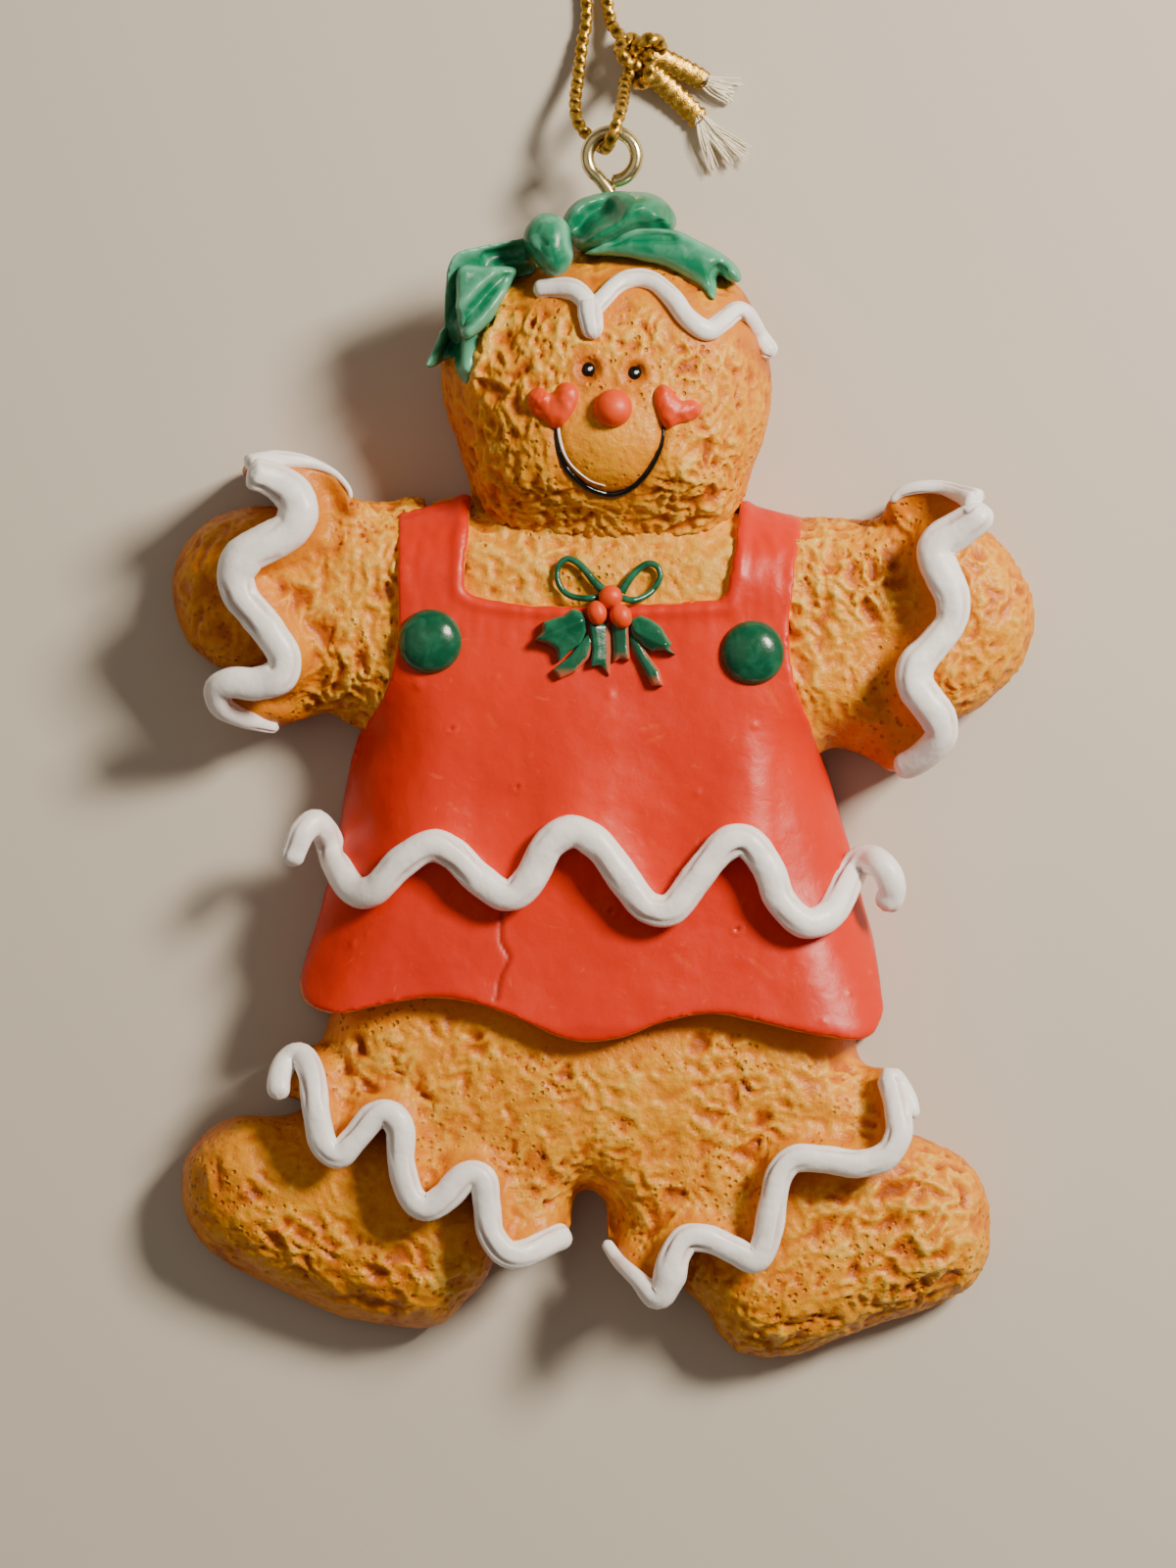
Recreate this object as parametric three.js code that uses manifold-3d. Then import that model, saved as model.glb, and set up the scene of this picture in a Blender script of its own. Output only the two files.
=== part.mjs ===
// Gingerbread-girl Christmas tree ornament: dough-like pieces bonded on a flat back, piped icing,
// ribbon bows, a wire eye in the top of the head and a braided cord loop tied through the eye.
// Units are millimetres. The figure lies on its back: +X is the right-hand side seen from the front,
// +Y runs to the head and the cord, +Z comes out of the front. Left and right are as seen from the front.
import * as THREE from "three";
import { mergeVertices } from "three/addons/utils/BufferGeometryUtils.js";
import Module from "manifold-3d";

const wasm = await Module();
wasm.setup();

// Driving dimensions
const GAP = 0.3; // bond line between neighbouring pieces
const HAND_TOP = 7.6; // front face of hands and feet above the flat back
const PANTS_TOP = 9.2;
const TORSO_TOP = 9.8;
const SLEEVE_TOP = 10;
const DRESS_LOW = 1; // the dress wraps the sides down to here
const DRESS_TOP = 11.3;
const HEAD_TOP = 15;
const SLEEVE_ICING = 1.5; // radii of the piped beads
const SKIRT_ICING = 1.25;
const LEG_ICING = 1.1;
const FOREHEAD_ICING = 0.8;
const SMILE_LINE = 0.25;
const BUTTON_RADIUS = 2.85;
const BUTTON_HEIGHT = 1.4;
const EYE_RADIUS = 0.5;
const NOSE_RADIUS = 1.65;
const TRIM_THICKNESS = 0.7; // leaves, cheeks and ribbon ends on the front
const BROOCH_WIRE = 0.2;
const PIN_WIRE = 0.6; // radius of the eye pin's wire
const EYE_BEND = 2.15; // radius of the eye's wire centreline
const PIN_Z = 7; // the eye's plane above the back
const EYE_CENTRE = [0.8, 51.1];
const CORD_RADIUS = 0.58;

const FINISHES = {
  bread: { color: 0xdf9237, roughness: 0.6, metalness: 0 },
  red: { color: 0xcf3410, roughness: 0.4, metalness: 0 },
  green: { color: 0x1f7356, roughness: 0.25, metalness: 0 },
  icing: { color: 0xf1ebe6, roughness: 0.4, metalness: 0 },
  black: { color: 0x151312, roughness: 0.3, metalness: 0 },
  brass: { color: 0xd9c48a, roughness: 0.3, metalness: 1 },
  gold: { color: 0xb58b2c, roughness: 0.35, metalness: 0.8 },
};

const ornament = new THREE.Group();

function add(name, geometry, finish) {
  const mesh = new THREE.Mesh(geometry, new THREE.MeshStandardMaterial(FINISHES[finish]));
  mesh.name = name;
  ornament.add(mesh);
}

// ---- Shapes ----

// A closed outline through points, drawn as a smooth curve.
function smooth(points, count) {
  const through = points.map(([x, y]) => new THREE.Vector3(x, y, 0));
  const curve = new THREE.CatmullRomCurve3(through, true, "centripetal");
  return new THREE.Shape(
    curve.getPoints(count).slice(0, -1).map((p) => new THREE.Vector2(p.x, p.y)),
  );
}

// A pad from low to high whose edges are rounded inside the outline, or square where round is 0.
function pad(shape, low, high, round, segments = 2) {
  return new THREE.ExtrudeGeometry(shape, {
    depth: high - low - 2 * round,
    bevelEnabled: round > 0,
    bevelThickness: round,
    bevelSize: round,
    bevelOffset: -round,
    bevelSegments: segments,
    curveSegments: 2,
  }).translate(0, 0, low + round);
}

// The space that a pad needs in its neighbours, one bond line larger all round.
function room(shape, low, high) {
  return new THREE.ExtrudeGeometry(shape, {
    depth: high - low,
    bevelThickness: GAP,
    bevelSize: GAP,
    bevelSegments: 1,
    curveSegments: 2,
  }).translate(0, 0, low);
}

function circle(radius, sides) {
  return new THREE.Shape(
    Array.from({ length: sides }, (_, i) => {
      const turn = (2 * Math.PI * i) / sides;
      return new THREE.Vector2(radius * Math.cos(turn), radius * Math.sin(turn));
    }),
  );
}

// A round bead or wire along points [x, y, z]; where z is left out it is level.
function bead(points, radius, steps, level = 0, sides = 8) {
  const through = points.map(([x, y, z = level]) => new THREE.Vector3(x, y, z));
  const extrudePath = new THREE.CatmullRomCurve3(through, false, "centripetal");
  return new THREE.ExtrudeGeometry(circle(radius, sides), { steps, extrudePath });
}

// A low dome standing on the plane z = base.
function dome(radius, height, x, y, base, sides = 16) {
  const rings = 4;
  const profile = [new THREE.Vector2(0, 0)];
  for (let i = 0; i < rings; i++) {
    const rise = ((Math.PI / 2) * i) / rings;
    profile.push(new THREE.Vector2(radius * Math.cos(rise), height * Math.sin(rise)));
  }
  profile.push(new THREE.Vector2(0, height));
  return new THREE.LatheGeometry(profile, sides).rotateX(Math.PI / 2).translate(x, y, base);
}

// ---- Cutting ----

function solid(geometry) {
  const bare = geometry.clone();
  bare.deleteAttribute("normal");
  bare.deleteAttribute("uv");
  const merged = mergeVertices(bare, 1e-4);
  return new wasm.Manifold(
    new wasm.Mesh({
      numProp: 3,
      vertProperties: merged.attributes.position.array,
      triVerts: new Uint32Array(merged.index.array),
    }),
  );
}

// The geometry with the space of each neighbour taken out; only its largest body is kept.
function cut(geometry, ...rooms) {
  const bodies = rooms.reduce((rest, other) => rest.subtract(solid(other)), solid(geometry)).decompose();
  bodies.sort((a, b) => b.volume() - a.volume());
  const mesh = bodies[0].getMesh();
  return new THREE.BufferGeometry()
    .setAttribute("position", new THREE.BufferAttribute(mesh.vertProperties, mesh.numProp))
    .setIndex(new THREE.BufferAttribute(mesh.triVerts, 1));
}

// ---- Outlines of the dough pieces ----

const HEAD = smooth(
  [
    [-13.4, 30.5], [-12.8, 26.6], [-10.6, 23], [-6, 21.2], [0.5, 20.8], [7, 21.1], [11.4, 22.8],
    [13.8, 26.4], [14.6, 31], [13.6, 36.5], [10.4, 40.4], [5, 42.2], [-1, 42.5], [-7.2, 41], [-11.6, 37],
  ],
  40,
);
const TORSO = smooth(
  [
    [-17.4, 19.6], [-11, 20.4], [0, 20], [11, 20], [16.6, 18.8], [15.6, 12], [15.4, 6], [17.6, -1.6],
    [19.8, -8], [21.4, -14], [21, -18.4], [-22.4, -18.4], [-22.2, -13], [-20.6, -5], [-18, 3], [-17, 9],
  ],
  34,
);
const PANTS = smooth(
  [
    [-22.5, -19.3], [-23.9, -24], [-25, -26.6], [-27.9, -28.4], [-27.6, -31.2], [-25, -32.6], [-23.4, -35.4],
    [-20.4, -33], [-18, -33.4], [-17.3, -38], [-15, -40], [-11.4, -37.8], [-10.3, -40.4], [-8.8, -44.6],
    [-4.2, -43.8], [-3.3, -41], [-1.6, -39.1], [0.4, -40.6], [0.6, -43.6], [3.4, -47], [5, -48.2],
    [6.4, -44.2], [10.8, -43.8], [14.4, -44.2], [15, -39.6], [17.4, -37], [21.6, -37.4], [25, -35.6],
    [25.2, -31], [23.8, -28.4], [22.2, -26.5], [21.6, -19.3],
  ],
  90,
);
const SLEEVE_LEFT = smooth(
  [
    [-18.6, 20.2], [-21.8, 20.8], [-23.2, 23], [-26, 24.4], [-30.5, 24.2], [-31.3, 22.8], [-27.2, 20],
    [-28.6, 16.8], [-31.6, 14.2], [-29.4, 10.2], [-28, 7], [-32.8, 5], [-31, 2.6], [-27.5, 1.8],
    [-24, 2.6], [-21.5, 1.6], [-19.4, 5.4], [-18.7, 12],
  ],
  56,
);
const SLEEVE_RIGHT = smooth(
  [
    [18, 19.3], [21.3, 19.3], [24.6, 19.4], [25.4, 21.4], [29, 22.7], [33, 21], [33.6, 19], [31.5, 17.4],
    [28.9, 16.4], [29.6, 13.2], [30.4, 11.5], [29, 8.8], [27, 6.2], [28.8, 2.4], [29.3, 0.2], [28, -1.6],
    [25.3, -2.8], [23.2, -1.2], [21, -0.5], [18.3, 3.6], [17, 9], [17.2, 14],
  ],
  60,
);
const HAND_LEFT = smooth(
  [
    [-25.5, 19.2], [-31.5, 20.9], [-35.8, 18], [-37.7, 13.4], [-36, 8.4], [-32, 5.9], [-26, 6.5],
    [-23.5, 13],
  ],
  28,
);
const HAND_RIGHT = smooth(
  [
    [26, 17.4], [32.5, 18], [36.4, 15.6], [37.7, 11], [36.4, 6.6], [33.2, 3], [29.5, 2], [25, 4],
    [23.5, 11],
  ],
  28,
);
const FOOT_LEFT = smooth(
  [
    [-28.5, -32.9], [-31.9, -32.7], [-35.8, -35.2], [-36.9, -39.4], [-36.1, -42.6], [-33.8, -45.2],
    [-28.5, -47.8], [-23.2, -50.1], [-18, -51.3], [-14.3, -51.1], [-12, -48.8], [-10.6, -46.8],
    [-9.4, -42], [-14, -35.4], [-22, -30.4],
  ],
  34,
);
const FOOT_RIGHT = smooth(
  [
    [26.5, -34.4], [30.2, -35.5], [32.6, -37.5], [33.9, -41.5], [33.9, -44.4], [32.6, -47],
    [29.4, -49.1], [24.2, -51], [17.6, -53.2], [13.1, -53.8], [11.1, -53], [8.9, -50.1], [7.1, -47.6],
    [8, -42], [15, -36.5], [21, -33],
  ],
  34,
);

// The pinafore dress: two straps, a square neck, flared sides and a wavy hem.
function dressOutline() {
  const at = (x, y) => new THREE.Vector2(x, y);
  const shape = new THREE.Shape().moveTo(-12.3, 13.3).lineTo(-11.8, 20.9).lineTo(-17.9, 19.6);
  shape.splineThru([at(-17.8, 13), at(-17.9, 8), at(-19, 4.6)]);
  shape.splineThru([at(-21.2, 0.5), at(-22.9, -8), at(-25, -16.5), at(-26.3, -21.8), at(-25.2, -23.4)]);
  shape.splineThru([at(-22.8, -23.8), at(-15.1, -22.3), at(-7.5, -24.3), at(-1.4, -26.3), at(4, -25.1)]);
  shape.splineThru([at(9.8, -23.7), at(15.4, -24.9), at(22, -26), at(24.4, -23.5)]);
  shape.splineThru([at(22.9, -15.8), at(20.6, -7.2), at(18, 1.6), at(16.2, 7.3), at(16.5, 13)]);
  return shape.lineTo(17.3, 19).lineTo(12, 20.5).lineTo(10.6, 11.9).lineTo(-9.8, 12);
}
const DRESS = dressOutline();

// ---- Outlines of the bow on the head ----

const BOW_LOOP_LEFT = smooth(
  [
    [-7.1, 43.6], [-9.9, 43.5], [-12.9, 42.8], [-13.8, 41.2], [-13.6, 36.4], [-12, 35.9], [-9, 39],
    [-7.2, 41.2],
  ],
  24,
);
const BOW_TAIL_LEFT = smooth(
  [
    [-13.4, 35.3], [-15.7, 32.5], [-14.6, 32.2], [-13.2, 32.9], [-11.7, 31.1], [-10.9, 33.4],
    [-11.4, 35.1],
  ],
  20,
);
const BOW_LOOP_TOP = smooth(
  [
    [-2.7, 45.2], [-1.9, 47.2], [1.5, 48.1], [5, 47.4], [6.5, 45.6], [5.2, 44], [1.4, 43.9],
    [-1.9, 43.3],
  ],
  26,
);
const BOW_TAIL_RIGHT = smooth(
  [
    [-2.5, 42.5], [1.2, 43.3], [4.6, 43.5], [8.6, 43.3], [11, 41.8], [12.1, 40], [10.6, 40.4],
    [9.8, 38.7], [7.3, 40.3], [3.9, 41.4], [-0.8, 41.7],
  ],
  34,
);
const BOW_LOW = 8; // back of the bow's front pieces
const BOW_TOP = 14.6;

// The pill-shaped knot at the middle of the bow, or with grow the space that it needs.
function bowKnot(grow = 0) {
  const pill = new THREE.SphereGeometry(1, 12, 8).scale(1.6 + grow, 2.6 + grow, 1.9 + grow);
  return pill.translate(-4.9, 43.6, 12.9);
}

// ---- The wire eye ----

// A stem sunk in the head, bent into an open ring whose end stops short of the stem.
function eyePin() {
  const [x, y] = EYE_CENTRE;
  const points = [[x, 38], [x, 43], [x, 47.4]];
  const first = 236;
  const last = -38;
  const bends = 9;
  for (let i = 0; i <= bends; i++) {
    const turn = THREE.MathUtils.degToRad(first + ((last - first) * i) / bends);
    points.push([x + EYE_BEND * Math.cos(turn), y + EYE_BEND * Math.sin(turn)]);
  }
  return bead(points, PIN_WIRE, 30, PIN_Z);
}

// The drilled space for the stem.
function pinHole() {
  const x = EYE_CENTRE[0];
  return bead([[x, 37.6], [x, 49]], PIN_WIRE + GAP, 1, PIN_Z, 12);
}

// ---- Dough ----

function addDough() {
  add(
    "head",
    cut(
      pad(HEAD, 0, HEAD_TOP, 4, 2),
      room(BOW_LOOP_LEFT, BOW_LOW, BOW_TOP),
      room(BOW_TAIL_LEFT, BOW_LOW, BOW_TOP),
      room(BOW_TAIL_RIGHT, BOW_LOW, BOW_TOP),
      bowKnot(GAP),
      pinHole(),
    ),
    "bread",
  );
  add("torso", pad(TORSO, 0, TORSO_TOP, 1.6), "bread");
  const limbs = [
    ["sleeve_left", SLEEVE_LEFT, "hand_left", HAND_LEFT],
    ["sleeve_right", SLEEVE_RIGHT, "hand_right", HAND_RIGHT],
  ];
  for (const [sleeve, sleeveOutline, hand, handOutline] of limbs) {
    const shell = cut(
      pad(sleeveOutline, 0, SLEEVE_TOP, 0.6, 1),
      room(handOutline, 0, HAND_TOP),
      room(TORSO, 0, TORSO_TOP),
      room(DRESS, DRESS_LOW, DRESS_TOP),
    );
    add(sleeve, shell, "bread");
    add(hand, pad(handOutline, 0, HAND_TOP, 2), "bread");
  }
  const trousers = cut(
    pad(PANTS, 0, PANTS_TOP, 0.6, 1),
    room(TORSO, 0, TORSO_TOP),
    room(FOOT_LEFT, 0, HAND_TOP),
    room(FOOT_RIGHT, 0, HAND_TOP),
  );
  add("pantaloons", trousers, "bread");
  add("foot_left", pad(FOOT_LEFT, 0, HAND_TOP, 2), "bread");
  add("foot_right", pad(FOOT_RIGHT, 0, HAND_TOP, 2), "bread");
}

function addDress() {
  const shell = cut(
    pad(DRESS, DRESS_LOW, DRESS_TOP, 0.2, 1),
    room(TORSO, 0, TORSO_TOP),
    room(PANTS, 0, PANTS_TOP),
    room(HEAD, 0, HEAD_TOP),
  );
  add("dress", shell, "red");
  add("button_left", dome(BUTTON_RADIUS, BUTTON_HEIGHT, -15.1, 8.7, DRESS_TOP + GAP), "green");
  add("button_right", dome(BUTTON_RADIUS, BUTTON_HEIGHT, 13.1, 7.7, DRESS_TOP + GAP), "green");
}

// ---- Piped icing ----

const SKIRT_WAVE = [
  [-27.2, -11.2, 9], [-26.2, -8.2, 10], [-24.6, -7.3, 11.5], [-23.5, -9.8], [-22.3, -12.3], [-20.4, -13.3],
  [-18.2, -11.8], [-15.1, -9.5], [-13.2, -9.9], [-10.9, -12.6], [-8.7, -13.4], [-6.3, -11.8], [-4.4, -8.8],
  [-2.5, -8], [-0.6, -9.3], [1.7, -12.3], [4, -14.6], [5.9, -14.6], [8.2, -12], [10.5, -9.4], [12.4, -8.9],
  [14, -10.9], [15.9, -14.5], [17.9, -15.9], [20.1, -14.4], [21.6, -11.5], [23.2, -10.6, 12],
  [24.7, -12, 10.6], [25, -13.9, 9.6], [24.3, -15.6, 9],
];
const SLEEVE_WAVE_LEFT = [
  [-23.4, 23.4], [-25.6, 24.8], [-28.6, 25.4], [-31, 24.2], [-28.8, 22.4], [-26.6, 20.6],
  [-26.9, 18.2], [-29, 16.6], [-31.7, 15.2], [-32, 13], [-30.4, 10.8], [-28.4, 8.6], [-27.8, 6.2],
  [-30.4, 4.9], [-33.2, 4.8], [-32.8, 2.8], [-30.6, 1.8], [-28.4, 0.6],
];
const SLEEVE_WAVE_RIGHT = [
  [26.2, 22.3], [28.9, 23.3], [31.9, 22.6], [33.6, 20.6], [32.9, 18.6], [30.8, 17.4], [28.5, 16.8],
  [28.6, 14.4], [29.9, 12], [29.4, 9.4], [27.4, 7.4], [26.9, 5], [28.4, 2.8], [29.6, 0.6], [28.8, -1.4],
  [26.6, -2.6], [24.6, -3.7],
];
const LEG_WAVE_LEFT = [
  [-29.8, -31.6, 5], [-30.4, -29, 7.6], [-28.6, -27, 10.5], [-26.1, -27.6], [-25.2, -30.4], [-24.9, -33.6],
  [-23.4, -35.8], [-21.6, -34.8], [-19.7, -32.6], [-18, -33], [-17.5, -36], [-16.8, -39.4], [-14.8, -40.4],
  [-12.6, -38.6], [-10.8, -37.8], [-10, -40], [-9.4, -43.4], [-7.7, -45], [-5.2, -44.4], [-3, -43.5],
];
const LEG_WAVE_RIGHT = [
  [0, -43.6], [1.6, -46], [3.6, -47.6], [5, -48.2], [5.7, -46], [7, -44], [9, -43.6], [11.2, -44.1],
  [13.2, -44.8], [14.8, -43.6], [15.3, -40.8], [15.6, -38.2], [17.3, -36.6], [19.6, -36.5], [21.9, -37.2],
  [24.2, -36.7], [25.7, -34.9], [25.8, -32.4], [25, -29.8], [26.9, -27.9, 8], [28.3, -30, 5],
];
const FOREHEAD_WAVE = [
  [-6, 39.3], [-4, 39.7], [-2.2, 39.2], [-1.3, 37.6], [-0.9, 35.6], [-0.1, 38], [1.9, 40], [3.9, 40.1],
  [5.8, 38.8], [7.2, 36.8], [8.7, 35.7], [10.2, 36.3], [11.6, 37.4, 15.6], [13.3, 36.4, 14],
  [15.3, 35, 12.6], [16, 33.2, 11.6],
];

function addIcing() {
  const beads = [
    ["skirt", SKIRT_WAVE, SKIRT_ICING, DRESS_TOP, 58],
    ["sleeve_left", SLEEVE_WAVE_LEFT, SLEEVE_ICING, SLEEVE_TOP, 34],
    ["sleeve_right", SLEEVE_WAVE_RIGHT, SLEEVE_ICING, SLEEVE_TOP, 32],
    ["leg_left", LEG_WAVE_LEFT, LEG_ICING, PANTS_TOP, 42],
    ["leg_right", LEG_WAVE_RIGHT, LEG_ICING, PANTS_TOP, 42],
    ["forehead", FOREHEAD_WAVE, FOREHEAD_ICING, HEAD_TOP, 36],
  ];
  for (const [place, wave, radius, under, steps] of beads)
    add("icing_" + place, bead(wave, radius, steps, under + GAP + radius), "icing");
}

// ---- Face ----

// A heart cheek whose tip points along turn degrees from -Y.
function heart(x, y, turn) {
  const shape = new THREE.Shape().moveTo(0, -2.2);
  shape.bezierCurveTo(0.8, -1.2, 2.3, -0.4, 2.2, 0.9);
  shape.bezierCurveTo(2.1, 2, 0.5, 2.2, 0, 1.1);
  shape.bezierCurveTo(-0.5, 2.2, -2.1, 2, -2.2, 0.9);
  shape.bezierCurveTo(-2.3, -0.4, -0.8, -1.2, 0, -2.2);
  return new THREE.ExtrudeGeometry(shape, { depth: TRIM_THICKNESS, bevelEnabled: false, curveSegments: 6 })
    .rotateZ(THREE.MathUtils.degToRad(turn))
    .translate(x, y, HEAD_TOP + GAP);
}

function addFace() {
  const front = HEAD_TOP + GAP;
  add("eye_left", dome(EYE_RADIUS, 0.4, -1.3, 32.5, front, 12), "black");
  add("eye_right", dome(EYE_RADIUS, 0.4, 2.8, 32.2, front, 12), "black");
  add("nose", dome(NOSE_RADIUS, NOSE_RADIUS, 0.9, 29.1, front), "red");
  add("cheek_left", heart(-4.5, 29.5, 12), "red");
  add("cheek_right", heart(6.6, 29.2, -14), "red");
  const grin = [
    [-4.3, 26.8], [-4, 25.4], [-3.3, 23.9], [-2.1, 22.7], [-0.6, 21.9], [0.8, 21.7], [2.1, 22.1],
    [3.5, 23.2], [4.7, 24.9], [5.4, 26.4],
  ];
  add("smile", bead(grin, SMILE_LINE, 18, front + SMILE_LINE, 6), "black");
}

// ---- Green ribbon bow on the head ----

function addBow() {
  add("bow_knot", bowKnot(), "green");
  add("bow_loop_left", pad(BOW_LOOP_LEFT, BOW_LOW, BOW_TOP, 0.8), "green");
  add("bow_tail_left", pad(BOW_TAIL_LEFT, BOW_LOW, BOW_TOP - 2, 0.3), "green");
  add("bow_loop_top", cut(pad(BOW_LOOP_TOP, 2.6, 11.4, 0.8), pinHole()), "green");
  add("bow_tail_right", pad(BOW_TAIL_RIGHT, BOW_LOW, BOW_TOP, 0), "green");
}

// ---- Holly brooch at the neckline ----

const BROOCH_LEAVES = {
  brooch_leaf_left: [
    [-3.5, 11.3], [-5.1, 10.5], [-5.8, 8.9], [-4, 8], [-3.8, 6.9], [-2.5, 8.2], [-1.5, 9.3], [-1.7, 10.6],
  ],
  brooch_leaf_right: [
    [2.6, 10.3], [4.2, 10.2], [5.5, 9], [6.3, 7.9], [5.2, 7.7], [4.2, 8.2], [3.2, 7.9], [2.5, 8.9],
  ],
  brooch_tail_1: [[-1.5, 8.6], [-2.3, 7.6], [-4.1, 6.2], [-4.3, 5.7], [-2.2, 6.9], [-1.2, 8]],
  brooch_tail_2: [[-0.9, 9.6], [0.1, 9.6], [0.3, 7.2], [0.7, 5.9], [-0.2, 6.4], [-0.9, 6.4]],
  brooch_tail_3: [[0.8, 9.6], [1.7, 9.6], [2.2, 7], [1.6, 6.6], [1, 6.9]],
  brooch_tail_4: [[2.5, 8.3], [3.3, 7.2], [4.3, 6.1], [5.3, 5], [5, 4.7], [3.8, 5.8], [2.8, 7]],
};

function addBrooch() {
  const base = DRESS_TOP + GAP;
  for (const [name, points] of Object.entries(BROOCH_LEAVES)) {
    const outline = new THREE.Shape(points.map(([x, y]) => new THREE.Vector2(x, y)));
    add(name, pad(outline, base, base + TRIM_THICKNESS, 0.1, 1), "green");
  }
  const ribbons = {
    brooch_loop_left: [[-0.7, 13.2], [-1.9, 15], [-3.1, 15.9], [-4.1, 15.2], [-3.9, 13.8], [-2.7, 12.7], [-1.4, 12.4]],
    brooch_loop_right: [[2.3, 13.3], [3, 14.7], [4.2, 15.4], [5.1, 14.7], [4.9, 13.4], [3.9, 12.7], [2.8, 12.3]],
  };
  for (const [name, points] of Object.entries(ribbons))
    add(name, bead(points, BROOCH_WIRE, 14, base + BROOCH_WIRE, 6), "green");
  const berries = [[0.9, 12.9, 0.86], [-0.35, 11.3, 0.72], [1.75, 11, 0.84]];
  berries.forEach(([x, y, radius], i) => {
    const berry = new THREE.SphereGeometry(radius, 10, 6);
    add("brooch_berry_" + (i + 1), berry.translate(x, y, base + TRIM_THICKNESS + GAP + radius), "red");
  });
}

// ---- Cord ----

// Out of the knot, over the eye's top wire, through the eye, back under the wire and round the loop,
// which lies on the surface under the figure.
const CORD_ROUTE = [
  [1.9, 57.6, 3.4], [1.8, 56.4, 5.3], [1.6, 55.2, 7.4], [1.2, 53.9, 8.5], [0.7, 52.6, 8.35], [0.3, 51.8, 7],
  [-0.3, 52, 5.6], [-1.3, 52.9, 5.1], [-2.2, 54.2, 4.5], [-2.4, 56, 3.3], [-2.1, 58.4, 1.9],
  [-1.8, 61, 0.9], [-1.4, 64, 0.6], [-2.2, 72, 0.6], [-4.6, 82, 0.6], [-6.4, 92, 0.6], [-6.6, 101, 0.6],
  [-4.4, 108, 0.6], [-0.4, 111.4, 0.6], [3.8, 109.6, 0.6], [6, 103, 0.6], [5.8, 94, 0.6], [4.4, 84, 0.6],
  [2.2, 74, 0.6], [0.5, 66, 0.6], [0.7, 63, 1], [1.4, 61.8, 2],
];

function addCord() {
  add("eye_pin", eyePin(), "brass");
  add("cord_loop", bead(CORD_ROUTE, CORD_RADIUS, 70), "gold");
  const knot = new THREE.SphereGeometry(1, 12, 8).scale(1.5, 1.7, 1.4).translate(3, 59.8, 2.4);
  add("cord_knot", knot, "gold");
  const upper = [[5, 59.4, 1.6], [7.2, 58.3, 0.8], [9.6, 57.1, 0.6], [12, 56.4, 0.6]];
  const lower = [[4.5, 58.2, 1.6], [6.1, 56.9, 0.9], [7.9, 55.3, 0.6], [9.3, 53.9, 0.6], [10.9, 51.6, 0.6]];
  add("cord_tail_upper", bead(upper, CORD_RADIUS, 6), "gold");
  add("cord_tail_lower", bead(lower, CORD_RADIUS, 8), "gold");
}

addDough();
addDress();
addIcing();
addFace();
addBow();
addBrooch();
addCord();

export default ornament;
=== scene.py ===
"""Gingerbread-girl Christmas tree ornament: cast and hand-painted bread pieces, a satin pinafore, piped
icing, a ribbon bow, a holly brooch, a brass wire eye and a braided lurex cord. Sizes are millimetres."""

import math
import random

import bpy
import numpy as np
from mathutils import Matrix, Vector, noise
from mathutils.bvhtree import BVHTree


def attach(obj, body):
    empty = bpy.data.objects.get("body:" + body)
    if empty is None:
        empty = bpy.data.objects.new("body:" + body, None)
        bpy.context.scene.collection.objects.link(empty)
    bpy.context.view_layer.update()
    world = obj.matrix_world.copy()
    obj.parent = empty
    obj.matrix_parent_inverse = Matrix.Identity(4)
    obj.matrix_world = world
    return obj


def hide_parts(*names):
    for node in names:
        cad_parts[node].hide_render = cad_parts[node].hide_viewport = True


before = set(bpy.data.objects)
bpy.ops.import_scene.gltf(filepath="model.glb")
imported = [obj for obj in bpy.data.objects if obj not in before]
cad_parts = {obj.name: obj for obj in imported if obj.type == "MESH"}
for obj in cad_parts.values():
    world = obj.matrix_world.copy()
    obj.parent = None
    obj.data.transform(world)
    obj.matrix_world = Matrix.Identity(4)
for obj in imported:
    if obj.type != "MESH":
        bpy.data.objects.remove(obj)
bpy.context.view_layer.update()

MM = 0.001
FIGURE = "figure"
LOOP = "hanging_loop"
BREAD_GRAIN = 0.24  # edge length of the sculpted bread meshes
DRESS_GRAIN = 0.25
BOW_GRAIN = 0.2
CHEEK_GRAIN = 0.13
BROOCH_GRAIN = 0.11
EYE_DISTANCE = 400  # from the camera to the height MID_HEIGHT
MID_HEIGHT = 8
VIEW_CENTRE = np.array((-1.29, -3.77))


# ---------------------------------------------------------------- camera, light and floor


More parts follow.
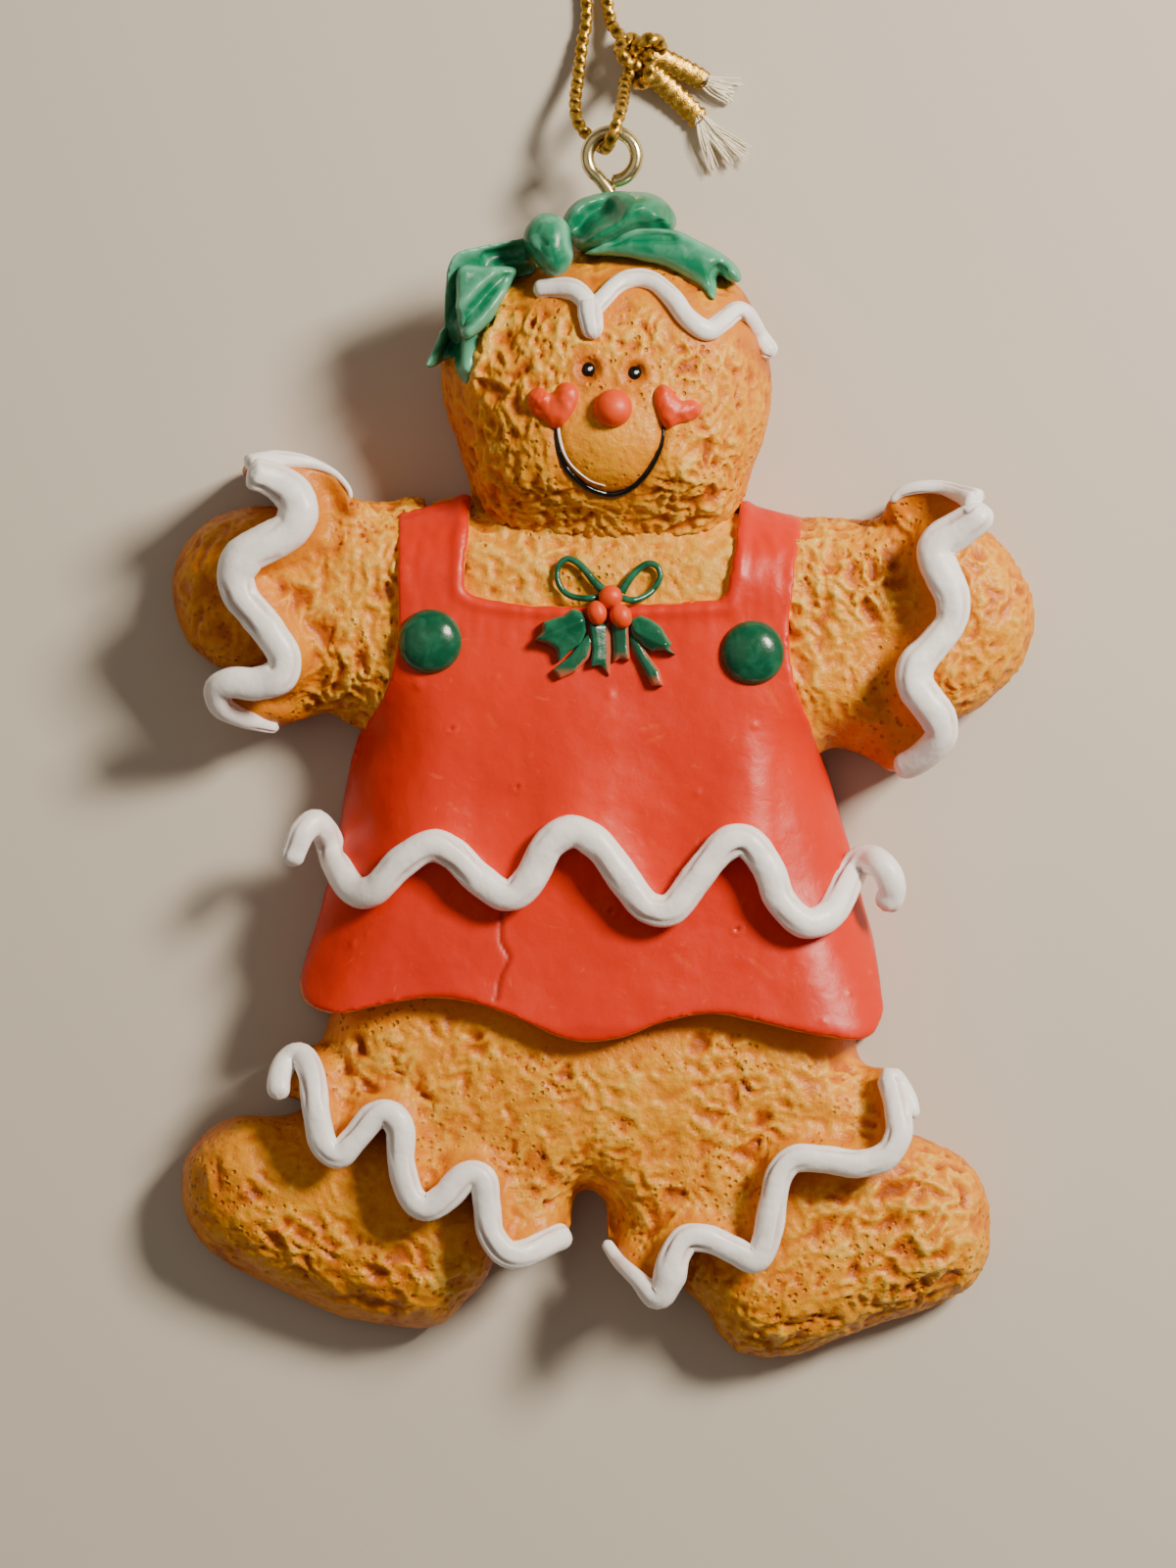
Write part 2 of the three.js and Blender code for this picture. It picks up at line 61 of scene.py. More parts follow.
def studio():
    """A pale floor, a warm soft key light from the upper right and a wide dim fill, seen from above."""
    sight = bpy.data.cameras.new("camera")
    seen_height = 137.1  # along the view's long side, at the middle of the figure's thickness
    sensor = 36
    sight.sensor_width = sensor
    sight.lens = sensor * EYE_DISTANCE / seen_height
    camera = bpy.data.objects.new("camera", sight)
    camera.location = (*VIEW_CENTRE * MM, (EYE_DISTANCE + MID_HEIGHT) * MM)
    bpy.context.collection.objects.link(camera)
    bpy.context.scene.camera = camera

    for name, place, size, power, warmth in (
        ("key", (0.26, 0.18, 0.285), 0.1, 3.2, (1, 0.9, 0.76)),
        ("fill", (-0.25, 0.12, 0.45), 0.5, 0.33, (1, 0.84, 0.66)),
    ):
        lamp = bpy.data.lights.new(name, "AREA")
        lamp.size = size
        lamp.energy = power
        lamp.color = warmth
        light = bpy.data.objects.new(name, lamp)
        light.location = place
        light.rotation_euler = (-Vector(place)).to_track_quat("-Z", "Y").to_euler()
        bpy.context.collection.objects.link(light)

    world = bpy.data.worlds.new("studio")
    world.use_nodes = True
    world.node_tree.nodes["Background"].inputs["Color"].default_value = (1, 0.88, 0.74, 1)
    world.node_tree.nodes["Background"].inputs["Strength"].default_value = 0.13
    bpy.context.scene.world = world

    clear_selection()
    bpy.ops.mesh.primitive_plane_add(size=3, location=(0, 0, -0.05 * MM))
    floor = bpy.context.object
    floor.name = "floor"
    paper, _, surface = new_material("floor_paper")
    surface.inputs["Base Color"].default_value = paint("#CFC7BA")
    surface.inputs["Roughness"].default_value = 0.9
    floor.data.materials.append(paper)


# ---------------------------------------------------------------- materials


def paint(code):
    """An sRGB hex colour as linear RGBA."""
    channels = [int(code[i : i + 2], 16) / 255 for i in (1, 3, 5)]
    return tuple(c / 12.92 if c < 0.04045 else ((c + 0.055) / 1.055) ** 2.4 for c in channels) + (1,)


def add(tree, kind, sockets=None, **settings):
    """Adds a node. settings are its properties; sockets gives an input a value, an sRGB hex colour or another
    node's output."""
    made = tree.nodes.new("ShaderNode" + kind)
    for key, value in settings.items():
        setattr(made, key, value)
    for key, value in (sockets or {}).items():
        if isinstance(value, bpy.types.NodeSocket):
            tree.links.new(value, made.inputs[key])
        else:
            made.inputs[key].default_value = paint(value) if isinstance(value, str) else value
    return made


FIRST, SECOND, MIXED = 6, 7, 2  # the places of a Mix node's two colour inputs and of its colour output


def new_material(name):
    """An empty material with its node tree and its Principled shader."""
    material = bpy.data.materials.new(name)
    material.use_nodes = True
    tree = material.node_tree
    return material, tree, tree.nodes["Principled BSDF"]


def pattern(tree, kind, size_mm, **more):
    """A solid texture whose features are about size_mm across, fixed to the piece."""
    place = add(tree, "TexCoord").outputs["Object"]
    sockets = {"Vector": place, "Scale": 1 / (size_mm * MM)}
    sockets.update(more)
    return add(tree, kind, sockets)


def washed_bread():
    """Cast resin in ochre with a thin orange-brown wash wiped off again: the wash stays in pits and wrinkles,
    the raised crust shows bright ochre, and the whole has a dry satin sheen."""
    material, tree, surface = new_material("washed_bread_resin")
    hollow = add(tree, "Attribute", attribute_name="hollow").outputs["Fac"]
    clouds = pattern(tree, "TexNoise", 5, Detail=3.0).outputs["Fac"]
    patches = add(tree, "MapRange", {"Value": clouds, "From Min": 0.35, "From Max": 0.7}).outputs["Result"]
    grains = pattern(tree, "TexNoise", 0.6, Detail=4.0).outputs["Fac"]
    crumbs = add(tree, "MapRange", {"Value": grains, "From Min": 0.36, "From Max": 0.68}).outputs["Result"]
    cells = pattern(tree, "TexVoronoi", 0.75, Randomness=1.0).outputs["Distance"]
    pinholes = add(tree, "MapRange", {"Value": cells, "From Min": 0.3, "From Max": 0.12}).outputs["Result"]
    areas = pattern(tree, "TexNoise", 7, Detail=2.0).outputs["Fac"]
    pitted = add(tree, "MapRange", {"Value": areas, "From Min": 0.46, "From Max": 0.6}).outputs["Result"]
    holes = add(tree, "Math", {0: pinholes, 1: pitted}, operation="MULTIPLY", use_clamp=True).outputs[0]
    crust_colour = add(tree, "Mix", {"Factor": patches, FIRST: "#E69200", SECOND: "#E28400"},
                       data_type="RGBA").outputs[MIXED]
    colour = add(tree, "Mix", {"Factor": crumbs, FIRST: "#E69F0B", SECOND: crust_colour},
                 data_type="RGBA").outputs[MIXED]
    # The pale raised crust, the wash in the hollows and the darker wash at their bottoms; the hollow values
    # also carry the painted shade that some pieces add.
    for low, high, tone in ((0.3, 0.02, "#EAB544"), (0.36, 0.72, "#CF7000"), (0.66, 1.05, "#923C00")):
        share = add(tree, "MapRange", {"Value": hollow, "From Min": low, "From Max": high}).outputs["Result"]
        colour = add(tree, "Mix", {"Factor": share, FIRST: colour, SECOND: tone},
                     data_type="RGBA").outputs[MIXED]
    dark = add(tree, "Math", {0: holes, 1: 0.6}, operation="MULTIPLY").outputs[0]
    holed = add(tree, "Mix", {"Factor": dark, FIRST: colour, SECOND: "#A44B00"},
                data_type="RGBA").outputs[MIXED]
    tree.links.new(holed, surface.inputs["Base Color"])
    sheen = add(tree, "MapRange", {"Value": crumbs, "To Min": 0.36, "To Max": 0.55}).outputs["Result"]
    tree.links.new(sheen, surface.inputs["Roughness"])
    surface.inputs["Specular IOR Level"].default_value = 0.4
    fine = pattern(tree, "TexNoise", 0.5, Detail=4.0, Roughness=0.55).outputs["Fac"]
    rough = add(tree, "Math", {0: holes, 1: -1.2, 2: fine}, operation="MULTIPLY_ADD").outputs[0]
    grain = add(tree, "Bump", {"Height": rough, "Distance": 0.12 * MM, "Strength": 1.0})
    tree.links.new(grain.outputs["Normal"], surface.inputs["Normal"])
    return material


def satin_red():
    """Red-orange satin enamel brushed over smooth resin: slow colour drift, faint brush lines, thin scuffs."""
    material, tree, surface = new_material("satin_red_enamel")
    clouds = pattern(tree, "TexNoise", 12, Detail=4.0).outputs["Fac"]
    drift = add(tree, "MapRange", {"Value": clouds, "From Min": 0.35, "From Max": 0.68}).outputs["Result"]
    colour = add(tree, "Mix", {"Factor": drift, FIRST: "#DD2C00", SECOND: "#D02200"},
                 data_type="RGBA").outputs[MIXED]
    brushed = pattern(tree, "TexNoise", 1.1, Detail=6.0, Distortion=0.4).outputs["Fac"]
    streaks = pattern(tree, "TexNoise", 2.6, Detail=8.0, Distortion=2.5).outputs["Fac"]
    scuffs = add(tree, "MapRange", {"Value": streaks, "From Min": 0.655, "From Max": 0.72}).outputs["Result"]
    faint = add(tree, "Math", {0: scuffs, 1: 0.35}, operation="MULTIPLY").outputs[0]
    # Painted shade: darker in the crack, the craters and the low dips of the dress, from its hollow values.
    crack_crater_and_dip_shade = add(tree, "Attribute", attribute_name="hollow").outputs["Fac"]
    edge = add(tree, "Attribute", attribute_name="edge").outputs["Fac"]
    for share, tone in ((faint, "#E65E34"), (crack_crater_and_dip_shade, "#7A1400"), (edge, "#E69626")):
        colour = add(tree, "Mix", {"Factor": share, FIRST: colour, SECOND: tone},
                     data_type="RGBA").outputs[MIXED]
    tree.links.new(colour, surface.inputs["Base Color"])
    sheen = add(tree, "MapRange", {"Value": brushed, "To Min": 0.3, "To Max": 0.5}).outputs["Result"]
    tree.links.new(sheen, surface.inputs["Roughness"])
    surface.inputs["Specular IOR Level"].default_value = 0.34
    film = add(tree, "Bump", {"Height": brushed, "Distance": 0.07 * MM, "Strength": 0.7})
    tree.links.new(film.outputs["Normal"], surface.inputs["Normal"])
    return material


def enamel(name, body, worn, roughness):
    """Brushed-on gloss paint: the body colour, paler where it is thin on edges, with a slightly wavy film; red
    undercoat shows where the brush missed."""
    material, tree, surface = new_material(name)
    brushed = pattern(tree, "TexNoise", 1.6, Detail=5.0, Distortion=0.8).outputs["Fac"]
    streaks = add(tree, "MapRange", {"Value": brushed, "From Min": 0.45, "From Max": 0.75}).outputs["Result"]
    thin = add(tree, "Math", {0: streaks, 1: 0.25}, operation="MULTIPLY").outputs[0]
    edge = add(tree, "Attribute", attribute_name="edge").outputs["Fac"]
    bare = add(tree, "Attribute", attribute_name="bare").outputs["Fac"]
    colour = body
    for share, tone in ((thin, worn), (edge, worn), (bare, "#D0583A")):
        colour = add(tree, "Mix", {"Factor": share, FIRST: colour, SECOND: tone},
                     data_type="RGBA").outputs[MIXED]
    tree.links.new(colour, surface.inputs["Base Color"])
    surface.inputs["Roughness"].default_value = roughness
    waves = pattern(tree, "TexNoise", 0.9, Detail=3.0).outputs["Fac"]
    film = add(tree, "Bump", {"Height": waves, "Distance": 0.05 * MM, "Strength": 1.0})
    tree.links.new(film.outputs["Normal"], surface.inputs["Normal"])
    return material


def icing_white():
    """White satin paint over a piped bead, with painted grey-pink shade in its creases and under it; tiny
    pinholes and smear marks.
    """
    material, tree, surface = new_material("painted_icing")
    grooves = add(tree, "Attribute", attribute_name="hollow").outputs["Fac"]
    brushed = pattern(tree, "TexNoise", 1.4, Detail=6.0, Distortion=0.6).outputs["Fac"]
    smears = add(tree, "MapRange", {"Value": brushed, "From Min": 0.5, "From Max": 0.78}).outputs["Result"]
    faint = add(tree, "Math", {0: smears, 1: 0.5}, operation="MULTIPLY").outputs[0]
    soft = add(tree, "Mix", {"Factor": faint, FIRST: "#FFFCFA", SECOND: "#F0E2DE"},
               data_type="RGBA").outputs[MIXED]
    shaded = add(tree, "Mix", {"Factor": grooves, FIRST: soft, SECOND: "#CDA59A"},
                 data_type="RGBA").outputs[MIXED]
    tree.links.new(shaded, surface.inputs["Base Color"])
    surface.inputs["Roughness"].default_value = 0.36
    grit = pattern(tree, "TexNoise", 0.6, Detail=4.0).outputs["Fac"]
    skin = add(tree, "Bump", {"Height": grit, "Distance": 0.06 * MM, "Strength": 0.8})
    tree.links.new(skin.outputs["Normal"], surface.inputs["Normal"])
    return material


def brass_plate():
    """Pale brass-plated wire, drawn smooth: bright with a few dull spots."""
    material, tree, surface = new_material("pale_brass_plate")
    clouds = pattern(tree, "TexNoise", 0.8, Detail=4.0).outputs["Fac"]
    spots = add(tree, "MapRange", {"Value": clouds, "From Min": 0.4, "From Max": 0.75}).outputs["Result"]
    plated = add(tree, "Mix", {"Factor": spots, FIRST: "#E6D9A8", SECOND: "#C4AE74"},
                 data_type="RGBA").outputs[MIXED]
    tree.links.new(plated, surface.inputs["Base Color"])
    sheen = add(tree, "MapRange", {"Value": spots, "To Min": 0.18, "To Max": 0.4}).outputs["Result"]
    tree.links.new(sheen, surface.inputs["Roughness"])
    surface.inputs["Metallic"].default_value = 1
    return material


def lurex():
    """Gold lurex braid: painted glints where each flat metallic yarn catches the light, and painted shade in
    the gaps between them.
    """
    material, tree, surface = new_material("gold_lurex_braid")
    yarns = pattern(tree, "TexVoronoi", 0.35).outputs["Distance"]
    glints = add(tree, "MapRange", {"Value": yarns, "From Min": 0.1, "From Max": 0.6}).outputs["Result"]
    # Painted shade between the yarns, from the braid's hollow values.
    gaps = add(tree, "Attribute", attribute_name="hollow").outputs["Fac"]
    colour = "#F2D070"
    for share, tone in ((glints, "#C8962A"), (gaps, "#4A340C")):
        colour = add(tree, "Mix", {"Factor": share, FIRST: colour, SECOND: tone},
                     data_type="RGBA").outputs[MIXED]
    tree.links.new(colour, surface.inputs["Base Color"])
    surface.inputs["Metallic"].default_value = 0.85
    surface.inputs["Roughness"].default_value = 0.3
    threads = pattern(tree, "TexNoise", 0.15, Detail=2.0).outputs["Fac"]
    weave = add(tree, "Bump", {"Height": threads, "Distance": 0.04 * MM, "Strength": 1.0})
    tree.links.new(weave.outputs["Normal"], surface.inputs["Normal"])
    return material


def raw_fibre():
    """Off-white rayon core fibres where the braid has come undone: soft, a little fuzzy."""
    material, tree, surface = new_material("frayed_rayon")
    shade = pattern(tree, "TexNoise", 0.6).outputs["Fac"]
    rayon = add(tree, "Mix", {"Factor": shade, FIRST: "#FFFAEC", SECOND: "#E4D6B4"},
                data_type="RGBA").outputs[MIXED]
    tree.links.new(rayon, surface.inputs["Base Color"])
    surface.inputs["Roughness"].default_value = 0.7
    surface.inputs["Sheen Weight"].default_value = 0.4
    return material


# ---------------------------------------------------------------- modelling helpers


def clear_selection():
    """Leaves nothing selected, as new pieces are cut with operators."""
    bpy.ops.object.select_all(action="DESELECT")


def choose(piece):
    """Makes piece the only selected and the active one."""
    clear_selection()
    piece.select_set(True)
    bpy.context.view_layer.objects.active = piece


def apply(piece, kind, **settings):
    """Adds a modifier and applies it."""
    choose(piece)
    modifier = piece.modifiers.new(kind.lower(), kind)
    for key, value in settings.items():
        setattr(modifier, key, value)
    bpy.ops.object.modifier_apply(modifier=modifier.name)


def even_mesh(piece, grain):
    """Remeshes to even faces of about grain millimetres."""
    apply(piece, "REMESH", mode="VOXEL", voxel_size=grain * MM)


def points_of(piece):
    """The piece's vertices in millimetres."""
    flat = np.empty(len(piece.data.vertices) * 3)
    piece.data.vertices.foreach_get("co", flat)
    return flat.reshape(-1, 3) / MM


def normals_of(piece):
    """The piece's outward directions at its vertices."""
    flat = np.empty(len(piece.data.vertices) * 3)
    piece.data.vertices.foreach_get("normal", flat)
    return flat.reshape(-1, 3)


def move_points(piece, points):
    """Sets the vertices from places in millimetres."""
    piece.data.vertices.foreach_set("co", (points * MM).ravel())
    piece.data.update()


def store(piece, name, values):
    """Keeps a value from 0 to 1 at each vertex for the material."""
    held = piece.data.attributes.get(name) or piece.data.attributes.new(name, "FLOAT", "POINT")
    held.data.foreach_set("value", np.clip(values, 0, 1).astype(np.float32))


def through(points, spacing, closed=False):
    """Evenly spaced points on a smooth curve through the given ones."""
    p = np.array(points, float)
    count = len(p)
    turns = range(count if closed else count - 1)
    found = []
    for i in turns:
        near = [(i + k) % count if closed else min(max(i + k, 0), count - 1) for k in (-1, 0, 1, 2)]
        a, b, c, d = p[near]
        if not closed and i == 0:
            a = 2 * b - c
        if not closed and i == count - 2:
            d = 2 * c - b
        t = np.linspace(0, 1, 24, endpoint=False)[:, None]
        found.append(
            0.5 * (2 * b + (c - a) * t + (2 * a - 5 * b + 4 * c - d) * t**2 + (3 * b - a - 3 * c + d) * t**3)
        )
    found.append(p[:1] if closed else p[-1:])
    line = np.concatenate(found)
    run = np.concatenate([[0], np.cumsum(np.linalg.norm(np.diff(line, axis=0), axis=1))])
    samples = max(int(round(run[-1] / spacing)), 2)
    at = np.linspace(0, run[-1], samples + 1)
    even = np.stack([np.interp(at, run, line[:, k]) for k in range(p.shape[1])], axis=1)
    return even[:-1] if closed else even


def reach(xy, line, closed=False):
    """Distance in millimetres from each xy to a line of points."""
    a = np.array(line, float)[:, :2]
    b = np.roll(a, -1, axis=0)
    if not closed:
        a, b = a[:-1], b[:-1]
    along = b - a
    square = np.maximum((along**2).sum(1), 1e-12)
    nearest = np.empty(len(xy))
    batch = 4000  # keeps the arrays small
    for start in range(0, len(xy), batch):
        part = xy[start : start + batch, None, :2] - a[None]
        share = np.clip((part * along).sum(2) / square, 0, 1)
        off = part - share[..., None] * along
        nearest[start : start + batch] = np.sqrt((off**2).sum(2).min(1))
    return nearest


def swell(distance, radius):
    """The rise of a rounded edge: 0 at the edge, 1 from radius inwards."""
    t = np.clip(distance / radius, 0, 1)
    return np.sqrt(1 - (1 - t) ** 2)


def bell(distance, width):
    """1 at no distance, falling away smoothly over about width."""
    return np.exp(-((distance / width) ** 2))


def blank(name, outline, height, grain):
    """A flat-backed slab cut to a closed outline, in an even mesh."""
    drawn = bpy.data.curves.new(name, "CURVE")
    drawn.dimensions = "2D"
    drawn.fill_mode = "BOTH"
    drawn.extrude = height / 2 * MM
    spline = drawn.splines.new("POLY")
    spline.points.add(len(outline) - 1)
    spline.use_cyclic_u = True
    for point, (x, y) in zip(spline.points, outline):
        point.co = (x * MM, y * MM, 0, 1)
    piece = bpy.data.objects.new(name, drawn)
    bpy.context.collection.objects.link(piece)
    choose(piece)
    bpy.ops.object.convert(target="MESH")
    piece = bpy.context.object
    piece.location.z = height / 2 * MM
    bpy.ops.object.transform_apply(location=True, rotation=False, scale=False)
    even_mesh(piece, grain)
    return piece


def relief(name, outline, top, grain, height=10, low=0, softness=4):
    """A slab whose front is pressed to the height top(xy) and its back to low, a height or a function of xy;
    its edges are softened, and a flat back is drawn in a little."""
    piece = blank(name, outline, height, grain)
    points = points_of(piece)
    share = points[:, 2] / height
    floor = low(points[:, :2]) if callable(low) else low
    points[:, 2] = floor + share * (top(points[:, :2]) - floor)
    move_points(piece, points)
    even_mesh(piece, grain)
    apply(piece, "SMOOTH", factor=0.5, iterations=softness)
    if not callable(low):
        points = points_of(piece)
        sideways = normals_of(piece) * (1, 1, 0)
        points -= sideways * (0.9 * np.clip(1 - (points[:, 2] - low) / 3, 0, 1) ** 2)[:, None]
        move_points(piece, points)
    return piece


def noise_at(points, size, shift=0.0):
    """Smooth noise from -1 to 1 with features of about size millimetres. A shift picks another part of it."""
    return np.array([noise.noise(Vector(p)) for p in points / size + shift])


def even_out(values):
    """The same values with their mean at 0 and nearly all of them between -1 and 1."""
    return np.clip((values - values.mean()) / (2 * values.std() + 1e-9), -1.1, 1.1)


def crust(piece, depth=1.0, calm=None, shift=0.0, lean=80, long=1.8, folds=(), wash=None):
    """Torn baked surface: slow lumps, crumbling ridges that run at the angle lean, and round pits. calm gives
    0 where the dough was smoothed and 1 on open crust; the hollows are kept for the wash, and for the painted
    shade that some pieces add."""
    points = points_of(piece)
    normals = normals_of(piece)
    lumps = noise_at(points, 5.5, shift + 7) + 0.5 * noise_at(points, 2.7, shift + 70)
    turn = math.radians(lean)
    warp = np.stack([noise_at(points, 2, shift + k) for k in (3, 17, 29)], axis=1)
    warped = points + warp
    run = warped[:, 0] * math.cos(turn) + warped[:, 1] * math.sin(turn)
    side = warped[:, 1] * math.cos(turn) - warped[:, 0] * math.sin(turn)
    drawn = np.stack([side, run / long, warped[:, 2]], axis=1) / 1.35 + shift
    ridges = even_out(np.array([noise.ridged_multi_fractal(Vector(p), 0.8, 2.1, 3, 0.9, 1.8) for p in drawn]))
    torn = np.clip(noise_at(points, 6.5, shift + 91) * 1.5 + 0.95, 0.45, 1)
    crumbs = even_out(np.array([noise.fractal(Vector(p), 0.7, 2, 3) for p in points / 0.9 + shift]))
    cells = [noise.voronoi(Vector(p)) for p in (points / 1.05 + shift)]
    near = np.array([c[0][0] for c in cells])
    size = np.array([0.12 + 0.2 * abs(math.sin(91.7 * (c[1][0].x + 2.3 * c[1][0].y))) for c in cells])
    pits = np.clip(1 - near / size, 0, 1) ** 0.8 * np.clip(noise_at(points, 7, shift + 80) * 4 + 0.9, 0, 1)
    open_crust = np.ones(len(points)) if calm is None else calm(points)
    front = np.clip(normals[:, 2] * 0.8 + 0.45, 0.2, 1)
    rough = open_crust * front * depth
    ridge_height, crumb_height, pit_depth = 0.27, 0.06, 0.34
    rise = rough * (ridge_height * ridges * torn + crumb_height * crumbs - pit_depth * pits)
    hollow = 0.38 - rough * (0.42 * ridges * torn + 0.12 * crumbs - 0.7 * pits) - 0.1 * lumps
    for fold in folds:
        away = reach(points, through(fold, 0.4)) + 0.55 * noise_at(points, 1.5, shift + 44)
        deep = np.clip(noise_at(points, 2.6, shift + 61) * 1.5 + 0.55, 0, 1) * front
        rise += deep * (0.2 * bell(away - 0.9, 0.6) - 0.42 * bell(away, 0.4))
        hollow += 0.4 * deep * bell(away, 0.45)
    move_points(piece, points + normals * (0.2 * lumps * depth + rise)[:, None])
    hollow += np.clip(0.6 - normals[:, 2], 0, 1) * 0.35 + 0.22 * (1 - open_crust)
    if wash is not None:
        hollow += wash(points)
    store(piece, "hollow", hollow)


def surface_of(piece, otherwise):
    """A function for the height of the piece's front at any xy, and otherwise(xy) beyond its edges."""
    tree = BVHTree.FromObject(piece, bpy.context.evaluated_depsgraph_get())
    well_above = 60

    def height(xy):
        found = otherwise(xy)
        for i, (x, y) in enumerate(np.asarray(xy)[:, :2]):
            hit = tree.ray_cast(Vector((x, y, well_above)) * MM, Vector((0, 0, -1)))[0]
            if hit is not None:
                found[i] = hit.z / MM
        return found
    return height


def at(height, x, y):
    """The height at one place."""
    return float(height(np.array([[x, y]]))[0])


def rope(name, path, radii, sides=16):
    """A round strand along path, radii thick at each point, with rounded closed ends."""
    drawn = bpy.data.curves.new(name, "CURVE")
    drawn.dimensions = "3D"
    drawn.bevel_depth = MM
    drawn.bevel_resolution = (sides - 4) // 2
    drawn.use_fill_caps = True
    spline = drawn.splines.new("POLY")
    spline.points.add(len(path) - 1)
    for point, place, radius in zip(spline.points, path, radii):
        point.co = (*(np.array(place) * MM), 1)
        point.radius = radius
    piece = bpy.data.objects.new(name, drawn)
    bpy.context.collection.objects.link(piece)
    choose(piece)
    bpy.ops.object.convert(target="MESH")
    piece = bpy.context.object
    bpy.ops.object.mode_set(mode="EDIT")
    bpy.ops.mesh.select_all(action="SELECT")
    bpy.ops.mesh.remove_doubles(threshold=1e-6)
    bpy.ops.mesh.normals_make_consistent(inside=False)
    bpy.ops.object.mode_set(mode="OBJECT")
    return piece


def end_taper(count, spacing, radius, start=True, end=True):
    """Radius factors that round off a strand's ends."""
    run = np.arange(count) * spacing
    shape = np.ones(count)
    if start:
        shape *= swell(run + 0.02, radius)
    if end:
        shape *= swell(run[::-1] + 0.02, radius)
    return shape


PIECES = []


def finish(piece, material, node, body=FIGURE):
    """Gives a piece its finish and the body that it moves with, and hides the CAD parts that it stands in for.
    """
    PIECES.append(piece)
    piece.data.materials.clear()
    piece.data.materials.append(material)
    choose(piece)
    bpy.ops.object.shade_smooth()
    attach(piece, body)
    for replaced in [node] if isinstance(node, str) else node:
        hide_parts(replaced)


def true_place(points):
    """Outlines are drawn as they look from the camera; what is nearer to it is really a little smaller."""
    placed = np.array(points, float)
    share = (EYE_DISTANCE + MID_HEIGHT - placed[:, 2:]) / EYE_DISTANCE
    placed[:, :2] = VIEW_CENTRE + (placed[:, :2] - VIEW_CENTRE) * share
    return placed


# ---------------------------------------------------------------- heights of the figure's front, in mm

HEAD_EDGE = through(
    [
        (-13.9, 30.7), (-13.3, 28), (-12.4, 25.4), (-11.6, 23), (-11, 20.8), (-9, 18.8), (-4, 17.9),
        (1, 17.7),
        (7, 17.9), (10.6, 19), (12.1, 21.2), (12.9, 23.6), (13.9, 26.4), (14.6, 30), (14.5, 33.4),
        (13.4, 37.2), (11.4, 40.2), (7, 42.4), (2, 43), (-3.5, 42.6), (-8.2, 40.9), (-12, 37), (-13.9, 33.6),
    ],
    0.5,
    closed=True,
)
# The top and bottom edges of both arms and the sides of the dress; the hem and the hands lie beyond them.
LEFT_FLANK = through(
    [(-46, 27), (-30, 26.6), (-25, 26), (-22.2, 24.6), (-20.8, 22.4), (-18.6, 21), (-14, 21.6), (-6, 24)], 0.5
)
RIGHT_FLANK = through(
    [(46, 24.4), (31, 24.2), (26.6, 23.6), (24, 21.6), (22.6, 19.9), (18, 19.7), (12, 21.6), (6, 24)], 0.5
)
LEFT_SIDE = through(
    [
        (-46, 0.6), (-32, 1), (-26.8, 1.4), (-23.6, 2.2), (-21.2, 1), (-22.8, -5), (-24.8, -13), (-27.6, -21),
        (-31, -34),
    ],
    0.5,
)
RIGHT_SIDE = through(
    [
        (46, -4.4), (30, -3.6), (25, -3.1), (22, -1), (19.6, -0.8), (21.2, -7), (23.6, -16), (25.9, -24),
        (28.5, -34),
    ],
    0.5,
)


def body_depth(xy):
    """Distance in from the figure's outer edges."""
    return np.minimum.reduce([reach(xy, line) for line in (LEFT_FLANK, RIGHT_FLANK, LEFT_SIDE, RIGHT_SIDE)])


def arm_top(xy):
    """The soft slab that arms and chest are cut from."""
    crown = 0.9 * bell(np.hypot(xy[:, 0] / 20, (xy[:, 1] + 4) / 26), 1)
    return 2.6 + 7 * swell(body_depth(xy), 6.5) + crown


def chest_top(xy):
    """The bread between the straps: it dips towards the chin and drops under the head, straps and dress."""
    between = 1 / (1 + np.exp((np.abs(xy[:, 0]) - 12.4) * 4))
    valley = 0.8 * bell(reach(xy, HEAD_EDGE, closed=True), 1.8) * between
    hidden = 1.5 / (1 + np.exp((19.6 - xy[:, 1]) * 2)) + 1.5 * (1 - between)
    covered = 1.6 / (1 + np.exp((xy[:, 1] - 10.4) * 2))
    return arm_top(xy) - valley - hidden - covered


def dress_top(xy):
    """The dress lies about a millimetre proud of the bread. Its tunic flares out to the icing, and the skirt
    comes out from under it."""
    icing = np.interp(xy[:, 0], *SKIRT_LINE)
    above = xy[:, 1] - icing
    tunic = 1.5 * np.exp(-np.clip(above, 0, 30) / 6) / (1 + np.exp(-above / 0.3))
    flare = 1.7 * np.clip((-12 - xy[:, 1]) / 13, 0, 1) ** 1.5
    belly = 1.1 * bell(np.hypot(xy[:, 0] / 17, (xy[:, 1] + 3) / 12), 1)
    return 2.8 + 7.9 * swell(body_depth(xy), 7.5) + belly + flare + tunic


def head_top(xy):
    """A deep cushion, fullest at the cheeks, that slopes gently to the chest under the chin."""
    depth = reach(xy, HEAD_EDGE, closed=True)
    chin = np.clip((23 - xy[:, 1]) / 4.5, 0, 1) * np.clip((11.5 - np.abs(xy[:, 0] - 0.5)) / 3.5, 0, 1)
    cushion = 4.6 + 9.3 * swell(depth, 8.5) ** 0.92
    sloping = 8.7 + 5.2 * np.clip(depth / 8.5, 0, 1) ** 0.8
    cheeks = 1.2 * bell(np.hypot(xy[:, 0] - 0.6, (xy[:, 1] - 29) * 1.1), 9)
    return cushion * (1 - chin) + sloping * chin + cheeks


# ---------------------------------------------------------------- piped icing routes

